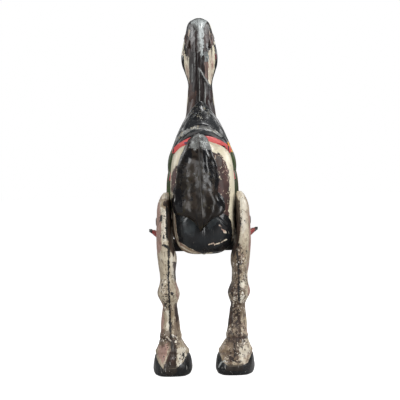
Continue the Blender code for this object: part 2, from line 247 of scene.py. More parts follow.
def even_curve(table: tuple, steps: int) -> np.ndarray:
    """A smooth curve with as many steps in each stretch."""
    return curve(table, [steps] * (len(table) - 1))


def bulge(angle: np.ndarray, square: np.ndarray) -> tuple[np.ndarray, np.ndarray]:
    """Cosine and sine of a superellipse.

    Args:
        angle: angles round a ring.
        square: the squareness at each angle, 2 for a plain ellipse.

    Returns:
        The two coordinates on a ring of half width 1.
    """
    c, s = np.cos(angle), np.sin(angle)
    power = 2 / square
    return np.sign(c) * np.abs(c) ** power, np.sign(s) * np.abs(s) ** power


def around(sides: int, square: float = 2.0) -> np.ndarray:
    """Angles round a ring, spread so that a squarish ring has even spacing.

    Args:
        sides: how many angles.
        square: the ring's squareness.

    Returns:
        Angles from 0 to just under a full turn.
    """
    dense = np.linspace(0, TURN, RING_STEPS)
    c, s = bulge(dense, np.full_like(dense, square))
    length = np.concatenate([[0], np.cumsum(np.hypot(np.diff(c), np.diff(s)))])
    return np.interp(np.arange(sides) / sides * length[-1], length, dense)


def even_ring(sides: int, square: float) -> tuple[np.ndarray, np.ndarray]:
    """Cosine and sine of evenly spaced places on a squarish ring."""
    angles = around(sides, square)
    return bulge(angles, np.full_like(angles, square))


def unit(vectors: np.ndarray) -> np.ndarray:
    """The same directions at a length of 1."""
    return vectors / np.linalg.norm(vectors, axis=-1, keepdims=True)


def heading(line: np.ndarray) -> np.ndarray:
    """Which way a line of points runs at each of them."""
    return unit(np.gradient(line, axis=0))


def to_metres(points: np.ndarray) -> np.ndarray:
    """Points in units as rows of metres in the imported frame."""
    return (points.reshape(-1, 3) + np.array([0, SHIFT, 0])) * UNIT


def waves(points: np.ndarray, size: float, seed: int) -> np.ndarray:
    """A gentle unevenness from a few crossed waves.

    Args:
        points: places in units, with the three coordinates last.
        size: about how long a wave is, in units.
        seed: which set of waves.

    Returns:
        Heights from about -1 to 1.
    """
    rng = np.random.default_rng(seed)
    total = np.zeros(points.shape[:-1])
    for _ in range(WAVE_COUNT):
        way = rng.normal(size=3)
        way *= TURN / size / np.linalg.norm(way) * rng.uniform(*WAVE_SPREAD)
        total += np.sin(points @ way + rng.uniform(0, TURN))
    return total / WAVE_TOP


def hump(distance: np.ndarray, width: float) -> np.ndarray:
    """A smooth hump that is 1 at no distance and fades over a width."""
    return np.exp(-((distance / width) ** 2))


def ridges(place: np.ndarray, rows: tuple) -> np.ndarray:
    """Humps and grooves across a piece, from rows of height, place and width."""
    return sum(height * hump(place - at, width) for height, at, width in rows)


@dataclass(frozen=True)
class Swelling:
    """A smooth rise or hollow on both sides of the horse, in units."""

    height: float
    centre: tuple[float, float, float]
    sizes: tuple[float, float, float]

    def rise(self, points: np.ndarray) -> np.ndarray:
        """How high it stands at each point.

        Args:
            points: places in units.

        Returns:
            Heights, below zero for a hollow.
        """
        mirrored = points.copy()
        mirrored[..., 0] = np.abs(mirrored[..., 0])
        offset = (mirrored - np.array(self.centre)) / np.array(self.sizes)
        return self.height * np.exp(-(offset**2).sum(-1))


def edge_distance(points: np.ndarray, start: np.ndarray, end: np.ndarray) -> np.ndarray:
    """How far each point is from a straight edge.

    Args:
        points: rows of two coordinates.
        start: one end of the edge.
        end: its other end.

    Returns:
        One distance for each point.
    """
    edge = end - start
    share = np.clip(((points - start) @ edge) / max(edge @ edge, TINY), 0, 1)
    return np.linalg.norm(points - start - share[:, None] * edge, axis=1)


def signed_distance(points: np.ndarray, outline: Outline) -> np.ndarray:
    """How far each point is inside an outline.

    Args:
        points: rows of two coordinates.
        outline: the corners in order.

    Returns:
        Distances, below zero outside.
    """
    best = np.full(len(points), np.inf)
    inside = np.zeros(len(points), bool)
    across, down = points.T
    corners = np.array(outline, float).reshape(-1, 2)
    for start, end in zip(corners, np.roll(corners, -1, axis=0)):
        best = np.minimum(best, edge_distance(points, start, end))
        run, rise = end - start
        rise = rise if abs(rise) > TINY else TINY
        crosses = (start[1] > down) != (end[1] > down)
        inside ^= crosses & (across < start[0] + (down - start[1]) * run / rise)
    return np.where(inside, best, -best)


def stroke_distance(points: np.ndarray, line: Outline, width: float) -> np.ndarray:
    """How far each point is inside a stroke along a line.

    Args:
        points: rows of two coordinates.
        line: the stroke's middle line.
        width: how wide it is.

    Returns:
        Distances, below zero outside.
    """
    corners = np.array(line, float).reshape(-1, 2)
    parts = [edge_distance(points, start, end) for start, end in zip(corners, corners[1:])]
    return width / 2 - np.min(parts, axis=0)


@dataclass(frozen=True)
class Sight:
    """Where the camera stands behind the horse, and how it maps the metal to the photograph."""

    back: float = 4.5
    height: float = 0.400
    scale: float = 497.0
    axis: float = 202.8
    horizon: float = 178.7
    frame_size: float = 400.0
    roll: float = math.radians(1.3)
    pixels_per_unit: float = 4.8
    sensor: float = 36.0
    far_clip: float = 50.0

    def hooves(self) -> float:
        """The y of the rearmost metal at the hind hooves."""
        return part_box("leg_hind_left")[0].y

    def pixels(self, points: np.ndarray) -> np.ndarray:
        """Where points fall in the photograph.

        Args:
            points: rows of metres.

        Returns:
            Rows of pixels across and down.
        """
        near = self.back / (self.back + points[:, 1] - self.hooves())
        across = near * self.scale * points[:, 0]
        down = self.horizon - near * self.scale * (points[:, 2] - self.height)
        down = down - self.frame_size / 2
        c, s = math.cos(self.roll), math.sin(self.roll)
        turned = [across * c + down * s + self.axis, down * c - across * s + self.frame_size / 2]
        return np.stack(turned, 1)

    def inside(self, pixels: np.ndarray, outlines: tuple[Outline, ...]) -> np.ndarray:
        """How far pixels are inside the nearest of some outlines, in units."""
        found = [signed_distance(pixels, one) for one in outlines]
        return np.max(found, axis=0) / self.pixels_per_unit

    def make_camera(self) -> None:
        """Places the camera level and straight behind, with a slight roll and shift."""
        lens = bpy.data.cameras.new("view from behind")
        lens.sensor_width = self.sensor
        lens.lens = self.scale * self.back / self.frame_size * self.sensor
        middle = self.frame_size / 2
        slide = self.axis + (self.horizon - middle) * math.sin(self.roll)
        lens.shift_x = (middle - slide) / self.frame_size
        lens.shift_y = (self.horizon - middle) / self.frame_size
        lens.clip_end = self.far_clip
        made = bpy.data.objects.new("view from behind", lens)
        place = Matrix.Translation((0, self.hooves() - self.back, self.height))
        turn = Matrix.Rotation(math.radians(90), 4, "X") @ Matrix.Rotation(-self.roll, 4, "Z")
        made.matrix_world = place @ turn
        bpy.context.scene.collection.objects.link(made)
        bpy.context.scene.camera = made


SIGHT = Sight()


@dataclass(frozen=True)
class Area:
    """A paint area: outlines and strokes in the photograph, and how far back it reaches."""

    name: str
    outlines: tuple[Outline, ...] = ()
    strokes: tuple[tuple[float, Outline], ...] = ()
    nearer: float = -60.0
    farther: float = 60.0
    wave: float = 0.0

    def distance(self, pixels: np.ndarray, depth: np.ndarray) -> np.ndarray:
        """How far each point is inside the area, in units.

        Args:
            pixels: where each point falls in the photograph.
            depth: each point's y in units.

        Returns:
            Distances, below zero outside.
        """
        found = np.full(len(pixels), OUTSIDE)
        if self.outlines:
            found = np.maximum(found, SIGHT.inside(pixels, self.outlines))
        for width, line in self.strokes:
            stroke = stroke_distance(pixels, line, width) / SIGHT.pixels_per_unit
            found = np.maximum(found, stroke)
        down = pixels[:, 1]
        ripple = np.sin(down * RIPPLE) + 0.5 * np.sin(down * FINE_RIPPLE + 1)
        limit = self.farther + self.wave * ripple
        return np.minimum(found, np.minimum(depth - self.nearer, limit - depth))


@dataclass
class Skin:
    """A grid of points in units that becomes a mesh: rings of equally many points."""

    name: str
    points: np.ndarray
    closed: bool = True
    values: dict[str, np.ndarray] = field(default_factory=dict)

    def normals(self) -> np.ndarray:
        """Finds which way is outwards at each point of the grid.

        Returns:
            Directions with a length of 1.
        """
        if self.closed:
            turn = np.roll(self.points, -1, axis=1) - np.roll(self.points, 1, axis=1)
        else:
            turn = np.gradient(self.points, axis=1)
        found = np.cross(turn, np.gradient(self.points, axis=0))
        found /= np.maximum(np.linalg.norm(found, axis=2, keepdims=True), TINY)
        outward = self.points - self.points.mean(axis=1, keepdims=True)
        return -found if (found * outward).sum() < 0 else found

    def swell(self, height: np.ndarray) -> "Skin":
        """Moves each point outwards by a height, and keeps the height as relief.

        Args:
            height: a height for each point.

        Returns:
            The same skin.
        """
        self.points = self.points + self.normals() * height[..., None]
        self.values["relief"] = self.values.get("relief", 0.0) + height
        return self

    def dome(self, rings: int = 10, rise: float = 0.15) -> "Skin":
        """Closes both ends with shrinking rings.

        Args:
            rings: how many rings each end gets.
            rise: how far the middle of an end stands out.

        Returns:
            The same skin.
        """
        parts = []
        shares = np.arange(1, rings + 1) / rings
        lifts = np.sqrt(1 - (1 - shares) ** 2) * rise
        for end, beside in ((0, 1), (-1, -2)):
            ring = self.points[end]
            centre = ring.mean(axis=0)
            ahead = centre - self.points[beside].mean(axis=0)
            ahead /= max(np.linalg.norm(ahead), TINY)
            shrunk = [centre + (ring - centre) * (1 - k * NEARLY) for k in shares]
            parts.append(np.array(shrunk) + lifts[:, None, None] * ahead)
        self.points = np.concatenate([parts[0][::-1], self.points, parts[1]])
        for key, value in self.values.items():
            self.values[key] = np.pad(value, ((rings, rings), (0, 0)), mode="edge")
        return self

    def quads(self) -> np.ndarray:
        """Joins the grid into faces that are turned outwards.

        Returns:
            The four corners of each face.
        """
        rings, sides, _ = self.points.shape
        index = np.arange(rings * sides).reshape(rings, sides)
        near = index if self.closed else index[:, :-1]
        far = np.roll(index, -1, axis=1) if self.closed else index[:, 1:]
        found = np.stack([near[:-1], far[:-1], far[1:], near[1:]], -1).reshape(-1, 4)
        corners = self.points.reshape(-1, 3)[found]
        face = np.cross(corners[:, 2] - corners[:, 0], corners[:, 3] - corners[:, 1])
        out = self.normals().reshape(-1, 3)[found[:, 0]]
        return found[:, ::-1] if (face * out).sum() < 0 else found

    def build(self, finish: Material, slot: Slot, areas: tuple[Area, ...] = ()) -> Object:
        """Makes the mesh, lays its paint areas on it and gives it its finish.

        Args:
            finish: the material.
            slot: the record's slot that it belongs to; not used.
            areas: the paint areas to keep as distances.

        Returns:
            The piece, riding on the one body.
        """
        metres = to_metres(self.points)
        mesh = bpy.data.meshes.new(self.name)
        mesh.from_pydata(metres.tolist(), [], self.quads().tolist())
        mesh.shade_smooth()
        pixels, depth = SIGHT.pixels(metres), self.points[..., 1].ravel()
        for area in areas:
            self.values[area.name] = area.distance(pixels, depth)
        for key, value in self.values.items():
            kept = mesh.attributes.new(key, "FLOAT", "POINT")
            kept.data.foreach_set("value", np.asarray(value, np.float32).ravel())
        mesh.materials.append(finish)
        made = bpy.data.objects.new(self.name, mesh)
        bpy.context.scene.collection.objects.link(made)
        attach(made, "root")
        log.info("%s: %d faces", self.name, len(mesh.polygons))
        return made


# Finishes


class Tree:
    """A few short calls for wiring shader nodes."""

    def __init__(self, tree: NodeTree) -> None:
        """Keeps the tree that the nodes go into."""
        self.tree = tree

    def add(self, kind: str, **settings: object) -> bpy.types.Node:
        """A new node.

        Args:
            kind: the node's type.
            settings: values of some of its properties.

        Returns:
            The node.
        """
        node = self.tree.nodes.new(kind)
        for key, value in settings.items():
            setattr(node, key, value)
        return node

    def put(self, value: object, socket: Socket) -> None:
        """Links a socket to another, or sets its own value.

        Args:
            value: a socket, a number or a colour.
            socket: the input that it goes into.
        """
        if isinstance(value, Socket):
            self.tree.links.new(value, socket)
        elif isinstance(value, tuple) and len(value) == 3 and socket.type == "RGBA":
            socket.default_value = (*value, 1)
        else:
            socket.default_value = value

    def sum(self, operation: str, *values: object, clamp: bool = False) -> Socket:
        """One step of arithmetic.

        Args:
            operation: the kind of step.
            values: what goes into it.
            clamp: whether the result is kept from 0 to 1.

        Returns:
            The result.
        """
        node = self.add("ShaderNodeMath", operation=operation, use_clamp=clamp)
        for value, socket in zip(values, node.inputs):
            self.put(value, socket)
        return node.outputs[0]

    def plus(self, value: object, more: object) -> Socket:
        """A value and another."""
        return self.sum("ADD", value, more)

    def minus(self, value: object, less: object) -> Socket:
        """A value less another."""
        return self.sum("SUBTRACT", value, less)

    def times(self, value: object, factor: object) -> Socket:
        """A value by a factor."""
        return self.sum("MULTIPLY", value, factor)

    def mix(self, kind: str, share: object, under: object, over: object) -> Socket:
        """A value or colour over another.

        Args:
            kind: FLOAT or RGBA.
            share: how much of the upper one shows.
            under: the lower one.
            over: the upper one.

        Returns:
            The result.
        """
        node = self.add("ShaderNodeMix", data_type=kind)
        for key, value in (("Factor", share), ("A", under), ("B", over)):
            self.put(value, node.inputs[key])
        return node.outputs["Result"]

    def ramp(self, value: object, low: object, high: object) -> Socket:
        """A smooth step.

        Args:
            value: what is measured.
            low: where the step is 0.
            high: where the step is 1.

        Returns:
            The step.
        """
        node = self.add("ShaderNodeMapRange", interpolation_type="SMOOTHSTEP")
        self.put(value, node.inputs["Value"])
        self.put(low, node.inputs["From Min"])
        self.put(high, node.inputs["From Max"])
        return node.outputs["Result"]

    def noise(self, vector: object, scale: object, detail: float = 3.0) -> Socket:
        """Soft noise.

        Args:
            vector: where it is measured.
            scale: how fine it is.
            detail: how many finer layers it has.

        Returns:
            Noise from 0 to 1.
        """
        node = self.add("ShaderNodeTexNoise")
        self.put(vector, node.inputs["Vector"])
        self.put(scale, node.inputs["Scale"])
        node.inputs["Detail"].default_value = detail
        return node.outputs["Fac"]

    def vector(self, operation: str, vector: object, other: object) -> Socket:
        """Two vectors joined axis by axis.

        Args:
            operation: how they are joined.
            vector: the first.
            other: the second.

        Returns:
            The result.
        """
        node = self.add("ShaderNodeVectorMath", operation=operation)
        self.put(vector, node.inputs[0])
        self.put(other, node.inputs[1])
        return node.outputs[0]

    def mask(self, group: NodeTree, **values: object) -> Socket:
        """What a group with one output puts out, given its own values."""
        return self.use(group, **values).outputs[0]

    def use(self, group: NodeTree, **values: object) -> bpy.types.Node:
        """A group placed with its own values.

        Args:
            group: the shared group.
            values: what goes into each of its inputs, by name.

        Returns:
            The group's node.
        """
        node = self.add("ShaderNodeGroup")
        node.node_tree = group
        for key, value in values.items():
            self.put(value, node.inputs[key])
        return node


def new_group(name: str, inputs: tuple[str, ...], outputs: tuple[str, ...] = ("Mask",)) -> tuple:
    """An empty shader group with named sockets.

    Args:
        name: the group's name.
        inputs: the names of the inputs after Place, all floats.
        outputs: the names of the outputs, all floats.

    Returns:
        The group, its wiring helper, the sockets it is given and its output node.
    """
    group = bpy.data.node_groups.new(name, "ShaderNodeTree")
    group.interface.new_socket("Place", in_out="INPUT", socket_type="NodeSocketVector")
    for key in inputs:
        group.interface.new_socket(key, in_out="INPUT", socket_type="NodeSocketFloat")
    for key in outputs:
        group.interface.new_socket(key, in_out="OUTPUT", socket_type="NodeSocketFloat")
    tree = Tree(group)
    given = tree.add("NodeGroupInput").outputs
    return group, tree, [given[key] for key in ("Place", *inputs)], tree.add("NodeGroupOutput")


def paint_edge_group() -> NodeTree:
    """Where a coat of paint lies: an area's distance with a ragged, flaked edge.

    Returns:
        The group.
    """
    names = ("Distance", "Ragged", "Scale")
    group, tree, (place, distance, ragged, scale), out = new_group("flaked paint edge", names)
    finer, fine_share, reach = 4.3, 0.6, 2.2
    bare, covered = -0.035, 0.045
    broad = tree.minus(tree.noise(place, scale, 2.0), 0.5)
    fine = tree.minus(tree.noise(place, tree.times(scale, finer), 3.0), 0.5)
    rough = tree.plus(broad, tree.times(fine, fine_share))
    push = tree.times(tree.times(rough, reach), ragged)
    tree.put(tree.ramp(tree.plus(distance, push), bare, covered), out.inputs["Mask"])
    return group


def fleck_group() -> NodeTree:
    """Clustered flecks and chips: how much of the surface they take, and how large they are.

    Returns:
        The group.
    """
    group, tree, (place, scale, amount), out = new_group("paint flecks", ("Scale", "Amount"))
    coarser, cluster_share = 0.17, 0.55
    none, most, soft = 0.78, 0.42, 0.025
    fleck = tree.noise(place, scale, 4.0)
    cluster = tree.noise(place, tree.times(scale, coarser), 2.0)
    both = tree.plus(fleck, tree.times(tree.minus(cluster, 0.5), cluster_share))
    edge = tree.minus(none, tree.times(amount, most))
    tree.put(tree.ramp(both, edge, tree.plus(edge, soft)), out.inputs["Mask"])
    return group


def scratch_group() -> NodeTree:
    """Fine scratches that mostly run downwards.

    Returns:
        The group.
    """
    group, tree, (place, scale, amount), out = new_group("fine scratches", ("Scale", "Amount"))
    sway_scale, sway_size, long = 14.0, 0.03, (1.0, 1.0, 0.06)
    none, most, soft = 0.76, 0.3, 0.05
    break_scale, broken, whole = 60.0, 0.42, 0.62
    bent = tree.add("ShaderNodeVectorMath", operation="ADD")
    tree.put(place, bent.inputs[0])
    tree.put(tree.times(tree.noise(place, sway_scale, 1.0), sway_size), bent.inputs[1])
    line = tree.noise(tree.vector("MULTIPLY", bent.outputs[0], long), scale, 2.0)
    edge = tree.minus(none, tree.times(amount, most))
    worn = tree.ramp(line, edge, tree.plus(edge, soft))
    parts = tree.ramp(tree.noise(place, break_scale, 2.0), broken, whole)
    tree.put(tree.times(worn, parts), out.inputs["Mask"])
    return group


def grain_group() -> NodeTree:
    """Uneven tone and a fine surface: broad, middling and fine noise.

    Returns:
        The group.
    """
    names = ("Broad", "Middle", "Fine")
    group, tree, (place, scale), out = new_group("paint grain", ("Scale",), names)
    low, high, middle, fine = 0.3, 0.7, 5.0, 38.0
    tree.put(tree.ramp(tree.noise(place, scale, 3.0), low, high), out.inputs["Broad"])
    mottle = tree.noise(place, tree.times(scale, middle), 4.0)
    tree.put(tree.ramp(mottle, low, high), out.inputs["Middle"])
    tree.put(tree.noise(place, tree.times(scale, fine), 3.0), out.inputs["Fine"])
    return group


def crackle_group() -> NodeTree:
    """Fine age cracks between cells of paint, broken up so that they come and go.

    Returns:
        The group.
    """
    group, tree, (place, scale, amount), out = new_group("age crackle", ("Scale", "Amount"))
    shake_scale, shake_size, thin = 55.0, 0.02, 0.05
    patch_scale, none, most, soft = 22.0, 0.72, 0.4, 0.12
    cells = tree.add("ShaderNodeTexVoronoi", feature="DISTANCE_TO_EDGE")
    shake = tree.add("ShaderNodeVectorMath", operation="ADD")
    tree.put(place, shake.inputs[0])
    tree.put(tree.times(tree.noise(place, shake_scale, 3.0), shake_size), shake.inputs[1])
    tree.put(shake.outputs[0], cells.inputs["Vector"])
    tree.put(scale, cells.inputs["Scale"])
    crack = tree.minus(1.0, tree.ramp(cells.outputs["Distance"], 0.0, thin))
    patch = tree.noise(place, patch_scale, 2.0)
    edge = tree.minus(none, tree.times(amount, most))
    come = tree.ramp(patch, edge, tree.plus(edge, soft))
    tree.put(tree.times(crack, come), out.inputs["Mask"])
    return group


@dataclass(frozen=True)
class Effects:
    """The shader groups that every finish shares."""

    edge: NodeTree
    flecks: NodeTree
    scratches: NodeTree
    grain: NodeTree
    crackle: NodeTree

    @classmethod
    def make(cls) -> "Effects":
        """Builds each group once."""
        makers = (paint_edge_group, fleck_group, scratch_group, grain_group, crackle_group)
        return cls(*(maker() for maker in makers))


@dataclass(frozen=True)
class Coat:
    """One coat over those before it: where it lies, its tones, its edge and its flecks."""

    light: Colour
    dark: Colour
    area: str = ""
    rough: float = 0.5
    ragged: float = 0.25
    scale: float = 110.0
    flecks: float = 0.0
    fleck_scale: float = 260.0
    strength: float = 1.0
    rise: float = 0.0
    gloss: float = 0.0

    def mask(self, tree: Tree, effects: Effects, place: Socket) -> Socket:
        """Where the coat lies, from its area, its flecks and its strength.

        Args:
            tree: the material's wiring helper.
            effects: the shared shader groups.
            place: the coordinates on the metal.

        Returns:
            How much of the coat shows.
        """
        found: object = 1.0
        if self.area:
            kept = tree.add("ShaderNodeAttribute", attribute_name=self.area)
            given = {"Distance": kept.outputs["Fac"], "Ragged": self.ragged, "Scale": self.scale}
            found = tree.mask(effects.edge, Place=place, **given)
        if self.flecks:
            given = {"Scale": self.fleck_scale, "Amount": self.flecks}
            found = tree.times(found, tree.mask(effects.flecks, Place=place, **given))
        return tree.times(found, self.strength)


@dataclass(frozen=True)
class Wear:
    """How strongly scratches and age cracks show on every finish."""

    scratch_scale: float = 420.0
    crack_scale: float = 130.0
    scratch_tone: float = 0.55
    crack_tone: float = 0.5
    scratch_rough: float = 0.12
    scratch_deep: float = 0.2
    crack_deep: float = 0.35


WEAR = Wear()


@dataclass(frozen=True)
class Finish:
    """A painted or bare metal finish: a ground, its coats, and its wear."""

    name: str
    light: Colour
    dark: Colour
    rough: float = 0.42
    metal: float = 0.0
    shine: float = 0.36
    gloss: float = 0.2
    gloss_rough: float = 0.25
    coats: tuple[Coat, ...] = ()
    grain: float = 9.0
    stretch: Colour = (1.0, 1.0, 1.0)
    scratches: float = 0.25
    scratch_tone: Colour = (0.25, 0.22, 0.18)
    crackle: float = 0.3
    crackle_tone: Colour = (0.10, 0.08, 0.06)
    bump: float = 0.35
    bump_deep: float = 0.0012
    broad_share: float = 0.55
    middle_share: float = 0.45
    ground_uneven: float = 0.12
    coat_uneven: float = 0.10
    fine_height: float = 0.10

    def make(self, effects: Effects) -> Material:
        """Wires the material.

        Args:
            effects: the shared shader groups.

        Returns:
            The finished material.
        """
        made = bpy.data.materials.new(self.name)
        made.use_nodes = True
        tree = Tree(made.node_tree)
        shader = made.node_tree.nodes["Principled BSDF"]
        place = tree.add("ShaderNodeTexCoord").outputs["Object"]
        drawn = tree.vector("MULTIPLY", place, self.stretch)
        grain = tree.use(effects.grain, Place=drawn, Scale=self.grain)
        broad, middle, fine = (grain.outputs[key] for key in ("Broad", "Middle", "Fine"))
        tone = tree.plus(tree.times(broad, self.broad_share), tree.times(middle, self.middle_share))
        colour = tree.mix("RGBA", tone, self.light, self.dark)
        ground = self.rough - self.ground_uneven / 2
        rough = tree.plus(ground, tree.times(middle, self.ground_uneven))
        height = tree.times(fine, self.fine_height)
        gloss: object = self.gloss
        for coat in self.coats:
            mask = coat.mask(tree, effects, place)
            shade = tree.mix("RGBA", middle, coat.light, coat.dark)
            colour = tree.mix("RGBA", mask, colour, shade)
            level = coat.rough - self.coat_uneven / 2
            wanted = tree.plus(level, tree.times(broad, self.coat_uneven))
            rough = tree.mix("FLOAT", mask, rough, wanted)
            height = tree.plus(height, tree.times(mask, coat.rise))
            gloss = tree.mix("FLOAT", mask, gloss, coat.gloss)
        colour, rough, height = self._wear(tree, effects, place, (colour, rough, height))
        tree.put(colour, shader.inputs["Base Color"])
        tree.put(rough, shader.inputs["Roughness"])
        shader.inputs["Metallic"].default_value = self.metal
        shader.inputs["Specular IOR Level"].default_value = self.shine
        shader.inputs["Coat Roughness"].default_value = self.gloss_rough
        tree.put(gloss, shader.inputs["Coat Weight"])
        raised = tree.add("ShaderNodeBump")
        raised.inputs["Strength"].default_value = self.bump
        raised.inputs["Distance"].default_value = self.bump_deep
        tree.put(height, raised.inputs["Height"])
        tree.put(raised.outputs[0], shader.inputs["Normal"])
        return made

    def _wear(self, tree: Tree, effects: Effects, place: Socket, under: tuple) -> tuple:
        """Adds scratches and age cracks over every coat.

        Args:
            tree: the material's wiring helper.
            effects: the shared shader groups.
            place: the coordinates on the metal.
            under: the colour, roughness and height so far.

        Returns:
            The worn colour, roughness and height.
        """
        colour, rough, height = under
        given = {"Place": place, "Scale": WEAR.scratch_scale, "Amount": self.scratches}
        scratch = tree.mask(effects.scratches, **given)
        given = {"Place": place, "Scale": WEAR.crack_scale, "Amount": self.crackle}
        crack = tree.mask(effects.crackle, **given)
        share = tree.times(scratch, WEAR.scratch_tone)
        colour = tree.mix("RGBA", share, colour, self.scratch_tone)
        colour = tree.mix("RGBA", tree.times(crack, WEAR.crack_tone), colour, self.crackle_tone)
        rough = tree.sum("ADD", rough, tree.times(scratch, WEAR.scratch_rough), clamp=True)
        dent = tree.plus(tree.times(scratch, WEAR.scratch_deep), tree.times(crack, WEAR.crack_deep))
        return colour, rough, tree.minus(height, dent)


# Tones of the paint, of what shows where it has worn, and of the painted highlights
CREAM: Colour = (0.83, 0.78, 0.61)
CREAM_DIM: Colour = (0.62, 0.55, 0.40)
BONE: Colour = (0.62, 0.55, 0.44)
PINK: Colour = (0.40, 0.26, 0.21)
PINK_DIM: Colour = (0.27, 0.165, 0.135)
TAN: Colour = (0.27, 0.20, 0.13)
BROWN: Colour = (0.062, 0.036, 0.027)
MAROON: Colour = (0.078, 0.036, 0.031)
MAROON_DIM: Colour = (0.034, 0.017, 0.015)
UMBER: Colour = (0.020, 0.014, 0.010)
BLACK: Colour = (0.007, 0.007, 0.008)
SOOT: Colour = (0.013, 0.011, 0.010)
INK: Colour = (0.011, 0.014, 0.017)
GREY: Colour = (0.30, 0.31, 0.30)
GREY_DIM: Colour = (0.10, 0.10, 0.098)
SILVER: Colour = (0.52, 0.55, 0.54)
BLUE: Colour = (0.20, 0.24, 0.25)
CORAL: Colour = (0.58, 0.085, 0.085)
CORAL_DIM: Colour = (0.36, 0.05, 0.05)
ORANGE: Colour = (0.48, 0.10, 0.035)
YELLOW: Colour = (0.72, 0.36, 0.04)
GREEN: Colour = (0.055, 0.085, 0.022)
GREEN_DIM: Colour = (0.018, 0.028, 0.010)
GOLD: Colour = (0.34, 0.27, 0.13)

CREAM_GROUND = Coat(TAN, PINK_DIM, flecks=0.16, fleck_scale=150.0, strength=0.75, rise=-0.2)
SPECKS = Coat(UMBER, SOOT, flecks=0.17, fleck_scale=330.0, rise=-0.4)

HEAD_COATS = (
    Coat((0.045, 0.03, 0.027), (0.014, 0.009, 0.009), "poll", rough=0.35, ragged=0.35, scale=80,
        rise=0.1, gloss=0.1),
    Coat((0.026, 0.019, 0.018), (0.008, 0.006, 0.006), "mane_side", rough=0.4, ragged=0.4,
        scale=70, gloss=0.05, rise=0.5),
    Coat((0.085, 0.05, 0.04), (0.035, 0.02, 0.016), "neck_brown", rough=0.45, ragged=0.5, scale=60),
    Coat((0.034, 0.012, 0.011), BLACK, "neck_red", rough=0.35, ragged=0.4, scale=60, gloss=0.1),
    # Painted highlight: the pale grey reflection on the top of the head and down its middle,
    # speckled dark
    Coat(GREY, GREY_DIM, "crown", rough=0.4, ragged=0.5, scale=90, strength=0.85, rise=-0.1,
        gloss=0.3),
    Coat((0.62, 0.67, 0.67), (0.34, 0.37, 0.37), "crown_highlight", rough=0.35, ragged=0.9, scale=150,
        strength=0.75, gloss=0.4),
    Coat(SOOT, GREY_DIM, "crown", flecks=0.42, fleck_scale=380, rough=0.4, rise=-0.3),
    Coat(BROWN, (0.04, 0.02, 0.02), "ear_shade", rough=0.4, ragged=0.3),
    Coat(BLACK, SOOT, "ear_hollow", rough=0.3, ragged=0.2, scale=160, rise=-0.3, gloss=0.3),
    Coat(CREAM, PINK, "cheek", rough=0.35, ragged=0.12, rise=0.3, gloss=0.3),
    Coat(BLACK, SOOT, "harness", rough=0.25, ragged=0.08, rise=0.4, gloss=0.4),
)
HIDE_FINISH = Finish(
    "aged cream horse paint", CREAM, CREAM_DIM, rough=0.38, gloss=0.25,
    coats=(
        CREAM_GROUND,
        SPECKS,
        Coat(PINK, TAN, "hollow", ragged=0.5, strength=0.35, rough=0.4),
        Coat(MAROON, MAROON_DIM, "primer", ragged=0.5, scale=95, rise=-0.7),
        Coat(PINK, CREAM_DIM, "primer", ragged=0.3, flecks=0.36, fleck_scale=150, rise=0.4,
            strength=0.8),
        Coat(UMBER, BLACK, "primer", ragged=0.3, flecks=0.4, fleck_scale=110, rise=-0.3,
            strength=0.8),
        Coat(GREY_DIM, BROWN, "bare_patch", ragged=0.12, rise=-0.2),
        Coat((0.009, 0.011, 0.013), BLACK, "dock", rough=0.22, ragged=0.14, scale=70, rise=0.5,
            gloss=0.2),
        Coat(BLUE, INK, "dock_sheen", rough=0.3, ragged=0.6, scale=60, strength=0.1, gloss=0.4),
        Coat(TAN, PINK_DIM, "rim", ragged=0.12, rise=-0.1),
        Coat(BONE, CREAM_DIM, "rim_light", ragged=0.22, rise=0.1),
        Coat(CREAM, PINK, "chips", ragged=0.16, scale=260, rise=-0.4),
        *HEAD_COATS,
        Coat((0.14, 0.006, 0.008), (0.09, 0.005, 0.006), "red_spot", rough=0.3, ragged=0.05,
            rise=0.3),
        Coat(PINK, MAROON, "muzzle", rough=0.45, ragged=0.45, strength=0.55, rise=0.1),
        Coat(UMBER, BLACK, "seam", ragged=0.14, scale=150, strength=0.7, rise=-0.3),
    ),
)
TAIL_FINISH = Finish(
    "worn black tail enamel", (0.016, 0.012, 0.009), (0.008, 0.006, 0.005), rough=0.32, shine=0.2,
    gloss=0.16, gloss_rough=0.16,
    scratches=0.1, scratch_tone=(0.05, 0.04, 0.03), crackle=0.15, crackle_tone=BLACK, bump=0.25,
    coats=(
        Coat((0.03, 0.021, 0.015), UMBER, "tail_brown", rough=0.4, ragged=0.45, rise=-0.1,
            gloss=0.2),
        Coat((0.03, 0.025, 0.012), UMBER, flecks=0.42, fleck_scale=120, rough=0.45, rise=-0.5),
        Coat(BLACK, BLACK, "tail_gloss", rough=0.14, rise=0.4, gloss=0.5),
        Coat(BLACK, BLACK, "tail_chips", flecks=0.5, fleck_scale=150, rough=0.2, ragged=0.3,
            rise=0.5, gloss=0.35),
        Coat(GREY, GREY_DIM, "tail_top", ragged=0.7, scale=120, strength=0.62, rise=-0.2,
            gloss=0.1),
        Coat(SILVER, GREY, "tail_top", ragged=0.4, flecks=0.46, fleck_scale=420, rise=-0.3),
        Coat(GREY_DIM, (0.05, 0.042, 0.036), "tail_seam", rough=0.45, ragged=0.05, scale=200,
            strength=0.7, rise=0.3),
        Coat(BLACK, BLACK, "tail_line", rough=0.4, ragged=0.08, scale=200, rise=-0.8),
        # Painted highlight along the tail's rim, broken into grey flecks
        Coat(GREY, GREY_DIM, "tail_rim_highlight", flecks=0.42, fleck_scale=300, rise=-0.2),
    ),
)
